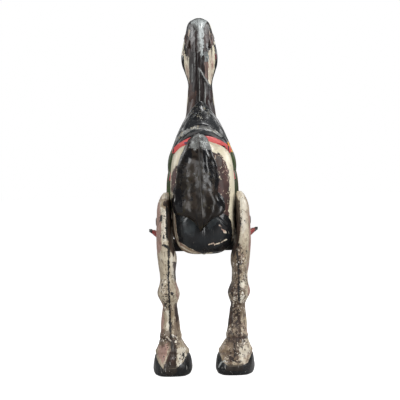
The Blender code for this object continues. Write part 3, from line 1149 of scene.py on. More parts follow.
MANE_FINISH = Finish(
    "worn dark mane enamel", (0.022, 0.016, 0.015), (0.006, 0.005, 0.005), rough=0.34, shine=0.14,
    gloss=0.06,
    gloss_rough=0.2, grain=26.0, stretch=(1.0, 1.0, 0.16),
    scratch_tone=(0.11, 0.1, 0.1), crackle=0.15, crackle_tone=BLACK,
    coats=(
        Coat(BLACK, SOOT, "strands", rough=0.34, rise=-0.5, gloss=0.1, strength=0.9),
        *HEAD_COATS,
        Coat(BLUE, GREY_DIM, "cheek_blue", rough=0.35, ragged=0.15, gloss=0.3),
        Coat((0.17, 0.085, 0.065), BROWN, "cheek_brown", rough=0.4),
        # Grey locks, ear ridges and seam line on the mane, with a painted highlight streak down the
        # neck
        Coat(GREY, GREY_DIM, "grey_locks_and_sheen", rough=0.4, ragged=0.1, scale=160, rise=0.4),
        Coat(BLACK, BLACK, "lock_tip", rough=0.25, ragged=0.1, rise=0.3, gloss=0.5),
    ),
)
SADDLE_FINISH = Finish(
    "worn black saddle enamel", (0.01, 0.011, 0.013), BLACK, rough=0.26, shine=0.34, gloss=0.45,
    gloss_rough=0.22,
    scratches=0.35, scratch_tone=(0.16, 0.165, 0.165), crackle=0.2, crackle_tone=(0.05, 0.05, 0.05),
    coats=(
        Coat((0.055, 0.06, 0.062), INK, "seat_grey", rough=0.34, ragged=0.8, scale=50,
            strength=0.35, gloss=0.25),
        Coat(GOLD, GREY, "gold_specks", flecks=0.34, fleck_scale=480, rough=0.45, ragged=0.4,
            rise=-0.3),
        Coat(SILVER, GREY, "gold_specks", flecks=0.26, fleck_scale=620, rough=0.45, ragged=0.4,
            rise=-0.3),
        Coat(GREY_DIM, INK, "cantle_rib", rough=0.35, strength=0.8, rise=0.3, gloss=0.3),
        # The cantle's pale band is a painted highlight on its top, speckled with worn silver
        Coat(GREY, GREY_DIM, "cantle", rough=0.42, ragged=0.5, scale=130, strength=0.7, rise=-0.2,
            gloss=0.2),
        Coat(SILVER, GOLD, "cantle", flecks=0.5, fleck_scale=330, rough=0.42, ragged=0.2,
            rise=-0.2),
        # Pale lines along the saddle's edges, both worn edges and painted highlights, and two
        # painted glints on the pommel
        Coat(GREY, GREY_DIM, "saddle_edge_wear_and_glints", rough=0.4, ragged=0.3, scale=160, strength=0.3,
            rise=-0.2),
        Coat(GREY, TAN, flecks=0.1, fleck_scale=300, rough=0.45, rise=-0.3),
        Coat(GREEN, GREEN_DIM, "skirt", rough=0.4, ragged=0.1, scale=120, rise=-0.3, gloss=0.15),
        Coat(YELLOW, (0.6, 0.26, 0.02), "side_yellow", rough=0.4, ragged=0.1, scale=140, rise=0.3),
        Coat(CORAL, ORANGE, "side_red", rough=0.4, ragged=0.14, scale=140, rise=0.3),
    ),
)
BLANKET_FINISH = Finish(
    "faded blanket paint", GREEN, GREEN_DIM, rough=0.4, gloss=0.25,
    coats=(
        Coat(CORAL, CORAL_DIM, "hem", rough=0.4, ragged=0.1, scale=140, rise=0.4),
        Coat(YELLOW, ORANGE, "hem_line", rough=0.4, ragged=0.08, scale=140, rise=0.2),
        Coat(YELLOW, (0.6, 0.26, 0.02), "side_yellow", rough=0.4, ragged=0.1, scale=140, rise=0.3),
        Coat(BLACK, SOOT, flecks=0.16, fleck_scale=200, rise=-0.5),
        Coat(CREAM, BONE, flecks=0.12, fleck_scale=240, rise=-0.5),
    ),
)
ROLL_FINISH = Finish(
    "coral red blanket roll", CORAL, (0.47, 0.065, 0.065), rough=0.45, gloss=0.15, scratches=0.15,
    scratch_tone=(0.62, 0.3, 0.28), crackle=0.1,
    coats=(
        Coat((0.66, 0.2, 0.19), CORAL, "roll_light", rough=0.45, ragged=0.3, scale=80,
            strength=0.6),
        Coat((0.05, 0.05, 0.12), (0.09, 0.06, 0.1), "roll_blue", ragged=0.14, scale=260, rise=-0.4),
        Coat(BLACK, SOOT, "roll_chips", ragged=0.18, scale=300, rise=-0.5),
        Coat(BLACK, MAROON, flecks=0.11, fleck_scale=330, rise=-0.4),
    ),
)
FLAP_FINISH = Finish(
    "green saddle flap paint", GREEN, GREEN_DIM, rough=0.36, gloss=0.35,
    coats=(
        Coat(GREEN_DIM, BLACK, "flap_fold", rough=0.35, ragged=0.15, rise=-0.3, gloss=0.3),
        Coat(ORANGE, CORAL_DIM, "flap_border", rough=0.4, ragged=0.1, scale=140, rise=0.4),
        Coat(CORAL, ORANGE, "side_red", rough=0.4, ragged=0.12, scale=140, rise=0.4),
        Coat(BLACK, SOOT, flecks=0.14, fleck_scale=220, rise=-0.4),
    ),
)
EAR_FINISH = Finish(
    "worn ear paint", (0.055, 0.035, 0.03), UMBER, rough=0.4, gloss=0.25, scratches=0.4,
    scratch_tone=GREY_DIM,
    coats=(
        Coat((0.16, 0.09, 0.075), BROWN, "ear_cup", rough=0.45, ragged=0.2),
        Coat(GREY, GREY_DIM, "ear_edge", rough=0.4, ragged=0.18, scale=180, strength=0.85,
            rise=0.3),
        Coat(BLACK, SOOT, "ear_cavity", ragged=0.12, rise=-0.4),
    ),
)
EYE_FINISH = Finish(
    "painted eye", BLACK, BLACK, rough=0.12, gloss=0.9, gloss_rough=0.05, scratches=0.05,
    crackle=0.05,
    coats=(Coat(CREAM, BONE, "eye_white", rough=0.3, ragged=0.03, gloss=0.5, rise=0.2),),
)
STRAP_FINISH = Finish(
    "black bridle enamel", SOOT, BLACK, rough=0.3, gloss=0.45, scratches=0.3, scratch_tone=GREY_DIM,
    coats=(Coat(GREY_DIM, TAN, flecks=0.16, fleck_scale=240, rise=-0.4),),
)
LEG_FINISH = Finish(
    "chipped cream leg paint", (0.62, 0.55, 0.42), (0.21, 0.145, 0.085), rough=0.46, gloss=0.12,
    grain=24.0,
    stretch=(1.0, 1.0, 0.42),
    scratches=0.38, scratch_tone=(0.78, 0.76, 0.72), crackle=0.45,
    coats=(
        Coat(PINK, PINK_DIM, flecks=0.4, fleck_scale=60, strength=0.35),
        Coat((0.13, 0.085, 0.055), BROWN, "hollow", ragged=0.7, scale=45, strength=0.6, rise=-0.1),
        Coat((0.74, 0.7, 0.6), BONE, "leg_light", ragged=0.6, scale=80, rough=0.4, rise=0.2,
            strength=0.8),
        Coat(PINK, PINK_DIM, "leg_pink", ragged=0.5, scale=60, rise=-0.1),
        Coat(TAN, BROWN, flecks=0.34, fleck_scale=120, strength=0.6, rise=-0.2),
        Coat((0.11, 0.065, 0.034), BROWN, "leg_stain", ragged=1.1, scale=75, strength=0.72,
            rise=-0.1),
        Coat(BROWN, UMBER, "leg_mottle", ragged=0.6, flecks=0.56, fleck_scale=150, rise=-0.3,
            strength=0.85),
        Coat((0.78, 0.74, 0.66), BONE, "leg_mottle", ragged=0.4, flecks=0.42, fleck_scale=210,
            rough=0.45, rise=0.1),
        # Dark brown patches, and painted shade on the legs' inner sides under the belly
        Coat(BROWN, UMBER, "leg_dark_paint_and_shade", ragged=0.28, scale=90, rough=0.4, rise=-0.2, gloss=0.15),
        Coat(SOOT, BROWN, "leg_grime", ragged=0.35, flecks=0.62, fleck_scale=190, rise=-0.4),
        Coat(SOOT, UMBER, flecks=0.27, fleck_scale=300, rise=-0.5),
        Coat(BLACK, SOOT, "leg_seam", ragged=0.34, scale=200, rise=-0.5),
        Coat(BLACK, SOOT, "leg_chips", ragged=0.14, scale=260, rough=0.4, rise=-0.5),
        Coat(INK, SOOT, "hoof", ragged=0.08, scale=120, rough=0.3, rise=0.3, gloss=0.3),
        Coat(UMBER, (0.05, 0.04, 0.032), "hoof_brown", ragged=0.3, scale=90, rough=0.45,
            strength=0.8),
        Coat(SILVER, GREY, "hoof_streak", ragged=0.12, scale=200, rough=0.45, rise=0.1,
            strength=0.8),
        Coat(BLACK, UMBER, "hoof", flecks=0.18, fleck_scale=240, ragged=0.0, rise=-0.3),
    ),
)
PEG_FINISH = Finish(
    "red foot rest enamel", (0.33, 0.045, 0.04), (0.2, 0.025, 0.022), rough=0.38, gloss=0.3,
    coats=(
        Coat((0.55, 0.17, 0.16), CORAL, "peg_light", ragged=0.2, rough=0.4, strength=0.6),
        Coat(BLACK, SOOT, "peg_tip", ragged=0.2, scale=150, rough=0.4, rise=-0.3),
        Coat(BLACK, UMBER, flecks=0.24, fleck_scale=200, rise=-0.4),
    ),
)
TIE_FINISH = Finish(
    "black tie bar enamel", SOOT, BLACK, rough=0.35, gloss=0.3, scratches=0.4,
    scratch_tone=GREY_DIM,
    coats=(Coat(BROWN, TAN, flecks=0.22, fleck_scale=180, rough=0.6, rise=-0.4),),
)
STEEL_FINISH = Finish(
    "dark worn steel", (0.16, 0.15, 0.14), (0.07, 0.065, 0.06), metal=1.0, gloss=0.0,
    scratches=0.5, scratch_tone=(0.35, 0.34, 0.33), crackle=0.1,
    coats=(Coat((0.12, 0.05, 0.025), BROWN, flecks=0.3, fleck_scale=160, rough=0.7, rise=0.2,
        strength=0.8),),
)


# The body

HEAD_AREAS = (
    Area("poll", (
        (189.4, 25, 192, 19, 197, 15, 204, 16, 208.6, 21.6, 211.4, 32, 213, 44, 209.4, 51,
         206, 58, 190, 58, 184.8, 54, 184.4, 44, 187, 34),
    ), nearer=12, farther=24.6),
    Area("mane_side", (
        (188.8, 52, 208.4, 52, 208.2, 79, 211.4, 85, 216, 89, 216, 100, 214.4, 108, 211.6, 114.6,
         188.6, 114.6, 186.6, 110, 184.6, 96, 186.4, 87, 189.4, 82),
    ), nearer=8, farther=17.6, wave=1.0),
    Area("neck_brown", (
        (183, 91, 196.4, 91, 195.4, 104, 194, 118, 183, 116),
        (188.8, 80, 191.2, 80, 191.8, 96, 187, 96),
    ), nearer=8, farther=17.6, wave=1.0),
    Area("neck_red", ((206, 92, 217, 88, 217, 117, 210, 116, 206.6, 106),), nearer=8, farther=17.6,
        wave=1.0),
    # The crown areas are painted highlights: the pale reflection on the head's top and a streak
    # down its middle
    Area("crown", (
        (189.8, 22, 192.6, 18, 197, 15, 203, 15, 208, 20, 206.4, 25, 203.8, 29, 203.8, 52,
         197.6, 52, 197.0, 31, 193, 26.4),
    ), nearer=12, farther=25.2),
    Area("crown_highlight", (
        (190, 22.5, 195, 16.5, 202.6, 16, 206.8, 20.6, 204.4, 26, 200.6, 26.4, 194, 24),
        (197.8, 25, 204.2, 25, 203.8, 38, 203.2, 47, 201.8, 56, 200.8, 47, 199.0, 38),
    ), nearer=12, farther=25.2),
    Area("cheek", (
        (208.8, 50, 213.4, 51, 213.6, 66, 212.2, 78, 210.6, 86, 208.0, 81, 208.4, 62),
        (185.2, 57, 188.2, 57, 189.2, 70, 189.4, 84, 187.8, 80, 185.6, 68),
        (186.8, 36, 188.6, 29, 190.2, 30, 188.6, 41),
        (208.6, 29, 210.2, 29, 213.0, 43, 211.4, 44),
    ), nearer=12, farther=26),
    Area("ear_shade", (
        (184, 41, 190, 39, 191, 48, 189.6, 57, 184.5, 55),
        (203.8, 33, 209, 35, 212, 44, 210.4, 50, 204.2, 51),
    ), nearer=12, farther=22.5),
    Area("ear_hollow", (
        (205.4, 44, 208.6, 42, 211.4, 47, 209.4, 50.6, 205.6, 50),
        (188.8, 33.6, 193.2, 29, 194.2, 33, 190.6, 39, 188, 40),
        (190.6, 27, 193, 25, 194.6, 28, 191.4, 31),
    ), nearer=12, farther=22.5),
    Area("harness", (
        (186, 23, 191.4, 20.4, 189.4, 28, 187.4, 33, 186.6, 38, 183, 44, 182.4, 36),
        (206.4, 21, 209, 23, 212, 31, 215.4, 42, 212.6, 41, 210.0, 33, 207.4, 26),
    ), (
        (4.2, (216.2, 46, 217.2, 58, 216.8, 68, 214.6, 79, 212.4, 87)),
        (3.4, (182.2, 57, 182.8, 66, 184.8, 76, 186.4, 84)),
    ), nearer=12, farther=25.2),
)


MUSCLES = {
    "haunch": Swelling(0.35, (6.0, -22, 38), (3.0, 5, 6)),
    "flank": Swelling(-0.22, (6.0, -13, 35), (3.0, 3.0, 5)),
    "shoulder": Swelling(0.40, (5.8, 14, 40), (3.0, 4.5, 7)),
    "breast": Swelling(0.28, (2.6, 18.4, 33.5), (2.4, 3, 4)),
    "middle of the breast": Swelling(-0.25, (0.0, 20.6, 36), (0.7, 2.5, 6)),
    "jaw": Swelling(0.42, (3.2, 24.6, 67.0), (1.6, 2.4, 2.8)),
    "hollow of the cheek": Swelling(-0.14, (3.0, 28.8, 66), (1.4, 1.3, 2.6)),
    "brow": Swelling(0.22, (2.6, 27.3, 71.0), (1.0, 1.6, 0.7)),
    "eye socket": Swelling(-0.30, (2.9, 27.0, 69.2), (1.2, 1.5, 1.2)),
    "edge of the croup": Swelling(0.40, (5.2, -22, 44.5), (1.8, 6, 3.2)),
    "corner of the rump": Swelling(0.38, (6.0, -25, 29.2), (1.6, 6, 2.6)),
    "edge of the crown": Swelling(0.30, (1.9, 22.5, 74.6), (1.3, 3.5, 1.6)),
    "slope of the rump": Swelling(-1.05, (2.9, -20.5, 47.8), (2.3, 5.5, 2.0)),
}


@dataclass
class Hide:
    """The welded pressing of trunk, neck and head."""

    sides: int = 280
    rump_steps: int = 28
    steps: int = 11
    square: float = 2.5
    rump_front: float = -22.0
    areas: tuple[Area, ...] = (
        Area("primer", (
            (212, 152, 219, 153.5, 225, 161, 228.6, 170, 229.3, 183, 229.3, 200, 228.5, 217,
             221, 215, 222, 205, 218, 196, 214, 180),
            (173.6, 170, 176.6, 164, 177.4, 176, 175.4, 186, 172.6, 197, 170.6, 190, 171.4, 176),
        ), farther=-16),
        Area("bare_patch", ((215.5, 157, 218, 155.3, 222.3, 160, 221.6, 166.4, 218, 165.4, 215.8,
            161),), farther=-16),
        Area("dock", (
            (173.4, 189, 171.8, 199, 172.2, 207, 175.2, 216, 176.8, 232, 178.8, 241.5, 188, 247.4,
             196, 251.4, 203, 253.4, 207, 259, 231, 252, 232.4, 232, 231.4, 221.6, 228, 216, 222.4,
             213,
             224.6, 206, 224, 198, 216, 190, 205, 185, 190, 183, 180, 183),
        ), farther=-19, wave=0.8),
        Area("dock_sheen", (
            (181, 218, 195, 213, 197, 226, 193, 238, 184, 232),
            (206, 226, 216, 216, 219, 220, 211, 234),
        ), farther=-20),
        Area("rim", (
            (172.0, 210, 175.2, 216, 176.8, 232, 178.8, 241.5, 188, 247.4, 196, 251.4, 203, 253.4,
             206, 259, 188, 258, 176, 250, 173, 238, 171, 225),
        ), farther=-20),
        Area("rim_light", (), (
            (1.3, (173.8, 214, 174.4, 228, 176.4, 239, 180, 246, 189, 251, 200, 254.6, 212, 253)),
        ), farther=-20),
        Area("chips", ((221.6, 228.6, 225.6, 230.4, 227.4, 233.6, 223.8, 232.8),), (
            (1.1, (208.5, 244.6, 213.5, 243.2)),
            (1.3, (214.5, 244.6, 219.5, 243.0)),
            (1.0, (221, 242.4, 226.5, 239.4)),
            (0.9, (219, 224.8, 221.4, 226.6)),
            (0.8, (222.5, 207.5, 221.6, 212.5, 219.6, 216)),
        ), farther=-24),
        *HEAD_AREAS,
        Area("red_spot", (), ((1.9, (215.6, 54.6, 215.8, 58.6)), (1.2, (183.0, 52, 183.4, 54.6))),
            nearer=20, farther=26),
    )

    def rings(self, rise: float = 0.0) -> np.ndarray:
        """The sections of the pressing, swelled by a rise.

        Args:
            rise: how far outwards, in units.

        Returns:
            Rings of points in units.
        """
        steps = [self.rump_steps] * 3 + [self.steps] * (len(TRUNK) - 4)
        rows = curve(TRUNK, steps)
        return self.sections(rows, around(self.sides, self.square), rise)

    @staticmethod
    def sections(rows: np.ndarray, angles: np.ndarray, rise: float = 0.0) -> np.ndarray:
        """Superellipse sections of the trunk's rows at some angles from the top, swelled by a rise.

        Args:
            rows: rows of the trunk's table.
            angles: angles from the top of each section.
            rise: how far outwards, in units.

        Returns:
            Rings of points in units.
        """
        top = np.stack([np.zeros(len(rows)), rows[:, 0], rows[:, 1]], 1)
        low = np.stack([np.zeros(len(rows)), rows[:, 2], rows[:, 3]], 1)
        up = unit(top - low)
        top, low = top + up * rise, low - up * rise
        middle = low + (top - low) * rows[:, 5:6]
        above = np.cos(angles)[None, :] >= 0
        square = np.where(above, rows[:, 6:7], rows[:, 7:8])
        c, s = bulge(np.broadcast_to(angles, square.shape), square)
        high = np.linalg.norm(top - middle, axis=1)[:, None]
        deep = np.linalg.norm(middle - low, axis=1)[:, None]
        reach = np.where(above, high, deep) * c
        points = middle[:, None] + up[:, None] * reach[..., None]
        points[..., 0] += s * (rows[:, 4:5] + rise)
        return points

    def relief(self, p: np.ndarray) -> np.ndarray:
        """Muscles, creases and the welded seam, as heights in units.

        Args:
            p: the grid in units.

        Returns:
            Heights over the grid, in units.
        """
        x, y, z = p[..., 0], p[..., 1], p[..., 2]
        off = np.abs(x)
        height = 0.05 * waves(p, 5.0, 3) + 0.02 * waves(p, 1.7, 4)
        height += sum(muscle.rise(p) for muscle in MUSCLES.values())
        height += 0.10 * hump(x, 0.16) * (z > 24) - 0.05 * hump(off - 0.42, 0.2)
        jowl = hump(np.hypot(y - 17.5, (z - 56) * 0.4) - 3.4, 0.9)
        height -= 0.16 * jowl * (z > 44) * (off > 1.5)
        nose, mouth = self.from_nostril(p), self.from_lips(p) + 6 * (y < 30.6)
        height += 0.20 * hump(nose - 0.95, 0.35) * (off > 0.7)
        height -= 0.42 * hump(nose, 0.55) * (off > 0.8)
        height += 0.15 * hump(mouth - 0.55, 0.35) * (y > 30.6) - 0.20 * hump(mouth, 0.22)
        front = 9 * (y >= self.rump_front)
        crease = np.abs(z - 31.5 + 0.75 * (np.abs(x + 1.8) - 2.6)) + 9 * (x > 0) + front
        fold = np.abs(z - 31.0 + 0.9 * (x - 4.2)) + 9 * (x < 1.5) + front
        height -= 0.10 * hump(crease, 0.22) + 0.10 * hump(fold, 0.25)
        return height + 0.10 * hump(fold - 0.5, 0.35)

    @staticmethod
    def from_nostril(p: np.ndarray) -> np.ndarray:
        """How far each point is from the nostril, seen from the side."""
        return np.hypot(p[..., 1] - 33.6, p[..., 2] - 58.9)

    @staticmethod
    def from_lips(p: np.ndarray) -> np.ndarray:
        """How far each point is above or below the line between the lips."""
        return np.abs(p[..., 2] - 56.9 - 0.25 * (33 - p[..., 1]))

    def build(self, effects: Effects) -> None:
        """Builds the pressing and its paint.

        Args:
            effects: the shared shader groups.
        """
        skin = Skin("hide", self.rings())
        p = skin.swell(self.relief(skin.points)).dome(12, 0.3).points
        x, y, z = p[..., 0], p[..., 1], p[..., 2]
        skin.values["hollow"] = -skin.values["relief"] * 3 - 0.35
        seam = np.where((y > -24) | (z < 26), 0.10 - np.abs(x), NOWHERE)
        seam = np.where(z < 34, seam, np.minimum(seam, (y > 18) * 4.0 - 2.0) - 0.05)
        nostrils = np.where(np.abs(x) > 0.9, 0.5 - self.from_nostril(p), NOWHERE)
        openings = np.maximum(nostrils, 0.14 - self.from_lips(p) - 3 * (y < 30.8))
        skin.values["seam"] = np.maximum(seam, openings)
        skin.values["muzzle"] = np.maximum(y - 32.2 + 0.3 * (58.5 - z), openings + 0.4)
        made = skin.build(HIDE_FINISH.make(effects), Slot.CREAM, self.areas)
        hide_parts("body")


@dataclass
class Hair:
    """A mane or tail of pressed locks that lies on the hide."""

    name: str
    table: tuple
    ridges: int
    finish: Finish
    areas: tuple[Area, ...]
    sides: int = 220
    steps: int = 30
    rise: float = 0.16
    strand: float = 1.0
    lump: float = 1.0
    curl: float = 0.35
    square: float = 2.2
    seed: int = 11

    def build(self, effects: Effects) -> None:
        """Builds the locks: broad ridges with fine strands between them, and a middle seam.

        Args:
            effects: the shared shader groups.
        """
        rows = even_curve(self.table, self.steps)
        along = heading(rows[:, :2])
        outward = np.stack([np.zeros(len(rows)), along[:, 1], -along[:, 0]], 1)
        angles = around(self.sides)
        c, s = bulge(angles, np.full_like(angles, self.square))
        down = np.linspace(0, 1, len(rows))[:, None]
        side = np.broadcast_to(s, (len(rows), self.sides))
        sway = self.curl * np.sin(down * 9 + np.sign(side) * 0.8) * np.abs(side)
        broad = np.cos(self.ridges * math.pi * (side + 0.10 * sway))
        fine = np.cos(side * 31 + 5 * sway + 2 * np.sin(down * 7)) * 0.5
        fine += np.cos(side * 57 - 4 * sway + 3 * np.sin(down * 11)) * 0.3
        front = np.clip(c, 0, 1)[None] ** 0.5
        taper = np.clip(down * 6, 0, 1) * np.clip((1 - down) * 6, 0, 1)
        ridge = self.rise * broad * 0.75 + 0.045 * self.strand * fine
        ridge = ridge * front * (0.35 + 0.65 * taper)
        left = side < 0
        wrap = np.where(left, rows[:, 6:7], rows[:, 7:8])
        out = c[None] * rows[:, 5:6] + ridge - wrap * side**2
        points = np.zeros((len(rows), self.sides, 3))
        points[..., 0] = rows[:, 2:3] + side * np.where(left, rows[:, 3:4], rows[:, 4:5])
        points[..., 1:] = rows[:, None, :2] + outward[:, None, 1:] * out[..., None]
        skin = Skin(self.name, points)
        skin.values["strands"] = -ridge / self.rise * 0.5 - 0.12
        lumps = 0.06 * waves(points, 3.0, self.seed) + 0.007 * waves(points, 1.2, self.seed + 1)
        lumps = self.lump * lumps + 0.10 * hump(points[..., 0] - rows[:, 2:3], 0.13) * front
        skin.swell(lumps).dome(6, 0.1)
        skin.build(self.finish.make(effects), Slot.BLACK, self.areas)


TAIL_AREAS = (
    Area("tail_top", ((189, 148, 191, 140, 195, 135.5, 199, 133, 204, 134.6, 209, 139, 212.5, 147,
        208, 149.6, 200, 146.6, 195, 150),)),
    Area("tail_brown", (
        (186, 161, 196, 157, 197.6, 180, 191, 184, 184.5, 173),
        (204, 188, 214, 184, 215, 196, 207, 198),
        (180, 196, 196, 192, 198, 208, 184, 209),
        (191, 147, 197, 148, 197.6, 157, 192, 156),
    )),
    Area("tail_gloss", (
        (184.5, 151, 190.5, 148.5, 192.4, 155, 190.5, 163, 186, 163, 183.5, 157),
        (217.5, 196, 226, 198, 226.6, 208, 220.5, 212.5, 217, 205),
        (203.5, 148, 208, 148, 208.5, 172, 203.5, 172),
        (215, 176, 220.5, 180, 220, 192, 215, 188),
        (171, 190, 181, 188, 183, 212, 174, 214),
    )),
    Area("tail_chips", ((179, 150, 197, 146, 198, 200, 184, 202, 177, 188),
        (203, 150, 214, 150, 219, 178, 212, 196, 203, 188))),
    Area("tail_seam", (), ((1.3, (198.2, 134, 199.4, 160, 200.2, 182, 201.4, 200, 203.2, 217)),)),
    Area("tail_line", (), (
        (0.8, (199.4, 140, 200.6, 170, 201.6, 192, 203.2, 206)),
        (0.9, (196, 214, 198, 228)),
        (0.8, (206, 213, 203, 228)),
        (0.8, (210, 205, 214, 212)),
    )),
    # Painted highlight along the tail's rim on both sides
    Area("tail_rim_highlight", (), ((1.2, (190.5, 140, 185, 147, 181.5, 156, 178.6, 166)),
        (1.2, (210, 143, 214.4, 152, 217.4, 166)))),
)
MANE_AREAS = (
    Area("cheek_blue", ((204.2, 52, 208.8, 51, 208.6, 61.5, 204.8, 62),)),
    Area("cheek_brown", ((204.4, 62, 208.4, 61.5, 208.2, 80, 205.2, 77),)),
    # Grey locks, ear ridges and seam on the mane; the stroke down the neck is a painted highlight
    Area("grey_locks_and_sheen", (), (
        (1.5, (198.6, 68, 201.4, 72, 205.6, 79, 210.6, 86.6)),
        (1.2, (204.8, 83, 205.4, 92, 205.0, 106)),
        (0.8, (199.2, 70, 199.6, 86, 199.4, 104)),
        (1.2, (195.4, 29.6, 191.4, 36.4, 187.4, 43)),
        (1.0, (194.8, 38, 190.6, 45, 187.6, 52)),
        (0.7, (195.2, 52, 194.6, 66)),
        (0.7, (192.4, 64, 192.0, 82)),
    )),
    Area("lock_tip", (), ((2.8, (209.6, 85.8, 213.0, 90.0)), (1.6, (200.6, 72, 203.6, 80)))),
    *HEAD_AREAS,
)
TAIL_HAIR = Hair("tail", TAIL, 4, TAIL_FINISH, TAIL_AREAS, rise=0.12, strand=0.1, lump=1.9,
    curl=1.5)
MANE_HAIR = Hair("mane", MANE, 4, MANE_FINISH, MANE_AREAS, steps=34, seed=21)


SIDE_TRIM = (
    Area("side_yellow", ((227.6, 141.6, 231.6, 142.4, 235.0, 147, 236, 153.4, 231.6, 152, 228.2,
        148.4),), farther=-8.5),
    Area("side_red", (), ((1.8, (234.6, 151.6, 236.6, 159, 237.6, 169)),), farther=-5.5),
)


@dataclass
class Saddle:
    """The black seat with its cantle, the red roll behind it, the blanket and two green flaps."""

    sides: int = 200
    steps: int = 26
    under_square: float = 2.4
    roll_sides: int = 48
    under: float = 4.0
    blanket_rise: float = 0.35
    flap_rise: float = 0.80
    hem_width: float = 0.7
    # Ridges and grooves across the seat: height, y and width
    seat_ridges: tuple = (
        (0.22, -10.2, 0.55), (0.16, -11.4, 0.35), (-0.14, -10.9, 0.25),
        (-0.12, -8.9, 0.4), (0.14, 7.9, 0.8), (-0.10, 6.3, 0.5),
    )
    # The roll's middle line on one side: x, z and half height
    roll_line: tuple = ((0.0, 48.4, 0.5), (1.4, 48.2, 0.72), (3.2, 47.5, 0.78), (5.0, 46.4, 0.74),
        (6.0, 45.5, 0.6))
    seat_areas: tuple[Area, ...] = (
        *SIDE_TRIM,
        Area("seat_grey", ((174, 146, 182, 130, 190, 116, 196, 122, 207, 120, 211, 112, 221, 128,
            229, 143, 214, 136, 199, 132, 186, 136),)),
        Area("gold_specks", ((187, 108, 196, 105, 207, 107, 211, 116, 206, 121, 190, 121),)),
        # Painted highlight along the cantle's lit top, with worn silver specks
        Area("cantle", (), ((3.2, (176.5, 139.5, 184, 132.8, 191, 129.2, 196.5, 127.2, 204.5,
            127.0, 212, 129.6, 221, 135.2)),)),
        Area("cantle_rib", (), ((2.6, (178, 143, 188, 135.4, 199, 131.6, 211, 134, 224, 141)),)),
        # Worn edges and painted highlights along the saddle's sides; the two short strokes are
        # painted glints on the pommel
        Area("saddle_edge_wear_and_glints", (), (
            (1.0, (197, 103, 190, 111, 181.6, 126, 174, 143)),
            (1.0, (202, 103, 210.4, 111, 219.6, 126, 227.6, 142)),
            (1.6, (194.6, 105, 197, 102.6)),
            (1.6, (202.2, 103, 204.6, 107)),
        )),
    )
    roll_areas: tuple[Area, ...] = (
        Area("roll_light", ((206, 137, 216, 139, 222, 143, 214, 143.4, 206, 140),
            (178, 144, 188, 139, 188, 141, 180, 146))),
        Area("roll_blue", ((184, 142.4, 186.6, 141.6, 187.4, 143.6, 184.6, 144.8),)),
        Area("roll_chips", ((221.6, 145.4, 224, 145.8, 226.4, 148.8, 224.4, 150.4, 222.4, 148.4),),
            (
            (1.0, (173.4, 147.4, 173.8, 154)),
            (1.0, (228.6, 146, 228.2, 153)),
            (0.8, (212, 145.2, 220, 148.2)),
        )),
    )

    def build(self, effects: Effects) -> None:
        """Builds the seat, roll, blanket and flaps.

        Args:
            effects: the shared shader groups.
        """
        self._seat(effects)
        self._roll(effects)
        self._blanket(effects)
        for side in Side:
            self._flap(side, effects)

    def _seat(self, effects: Effects) -> None:
        """Builds the seat with a rolled cantle edge, a rib below it and grooves like stitching.

        Args:
            effects: the shared shader groups.
        """
        rows = even_curve(SADDLE, self.steps)
        angles = around(self.sides, 1.9)
        above = np.cos(angles)[None] >= 0
        square = np.where(above, rows[:, 4:5], self.under_square)
        c, s = bulge(np.broadcast_to(angles, square.shape), square)
        reach = np.where(above, rows[:, 1:2] - rows[:, 3:4], self.under)
        y = np.broadcast_to(rows[:, :1], s.shape)
        points = np.stack([s * rows[:, 2:3], y, rows[:, 3:4] + c * reach], -1)
        skin = Skin("saddle_seat", points)
        x, y = points[..., 0], points[..., 1]
        upper = np.clip(np.cos(angles), 0, 1)[None] ** 0.3
        height = ridges(y, self.seat_ridges) + 0.04 * waves(points, 2.6,
            31) + 0.015 * waves(points, 0.8, 32)
        height -= 0.05 * hump(np.abs(x) - 0.5, 0.12) * (y > -8) * (y < 4)
        skin.swell(height * upper).dome(10, 0.2)
        skin.values["skirt"] = 46.1 - skin.points[..., 2]
        skin.build(SADDLE_FINISH.make(effects), Slot.BLACK, self.seat_areas)

    def _roll(self, effects: Effects) -> None:
        """Builds the red roll that arches over the rump behind the cantle.

        Args:
            effects: the shared shader groups.
        """
        half = even_curve(self.roll_line, 18)
        line = np.vstack([half[:0:-1] * (-1, 1, 1), half])
        reach = np.linspace(-1, 1, len(line))
        centre = np.stack([line[:, 0], np.full(len(line), -13.0), line[:, 1]], 1)
        along = heading(centre)
        back = np.array([0.0, -1.0, 0.0])
        out = np.cross(along, back)
        a, b = even_ring(self.roll_sides, self.under_square)
        end = np.clip((1 - np.abs(reach)) * 14, 0.25, 1) ** 0.5
        half_deep, half_tall = 0.85 * end, line[:, 2] * end
        points = centre[:, None] + back * (a * half_deep[:, None])[..., None]
        points = points + out[:, None] * (b * half_tall[:, None])[..., None]
        skin = Skin("blanket_roll", points)
        skin.swell(0.03 * waves(points, 1.6, 41)).dome(5, 0.1)
        skin.build(ROLL_FINISH.make(effects), Slot.RED, self.roll_areas)

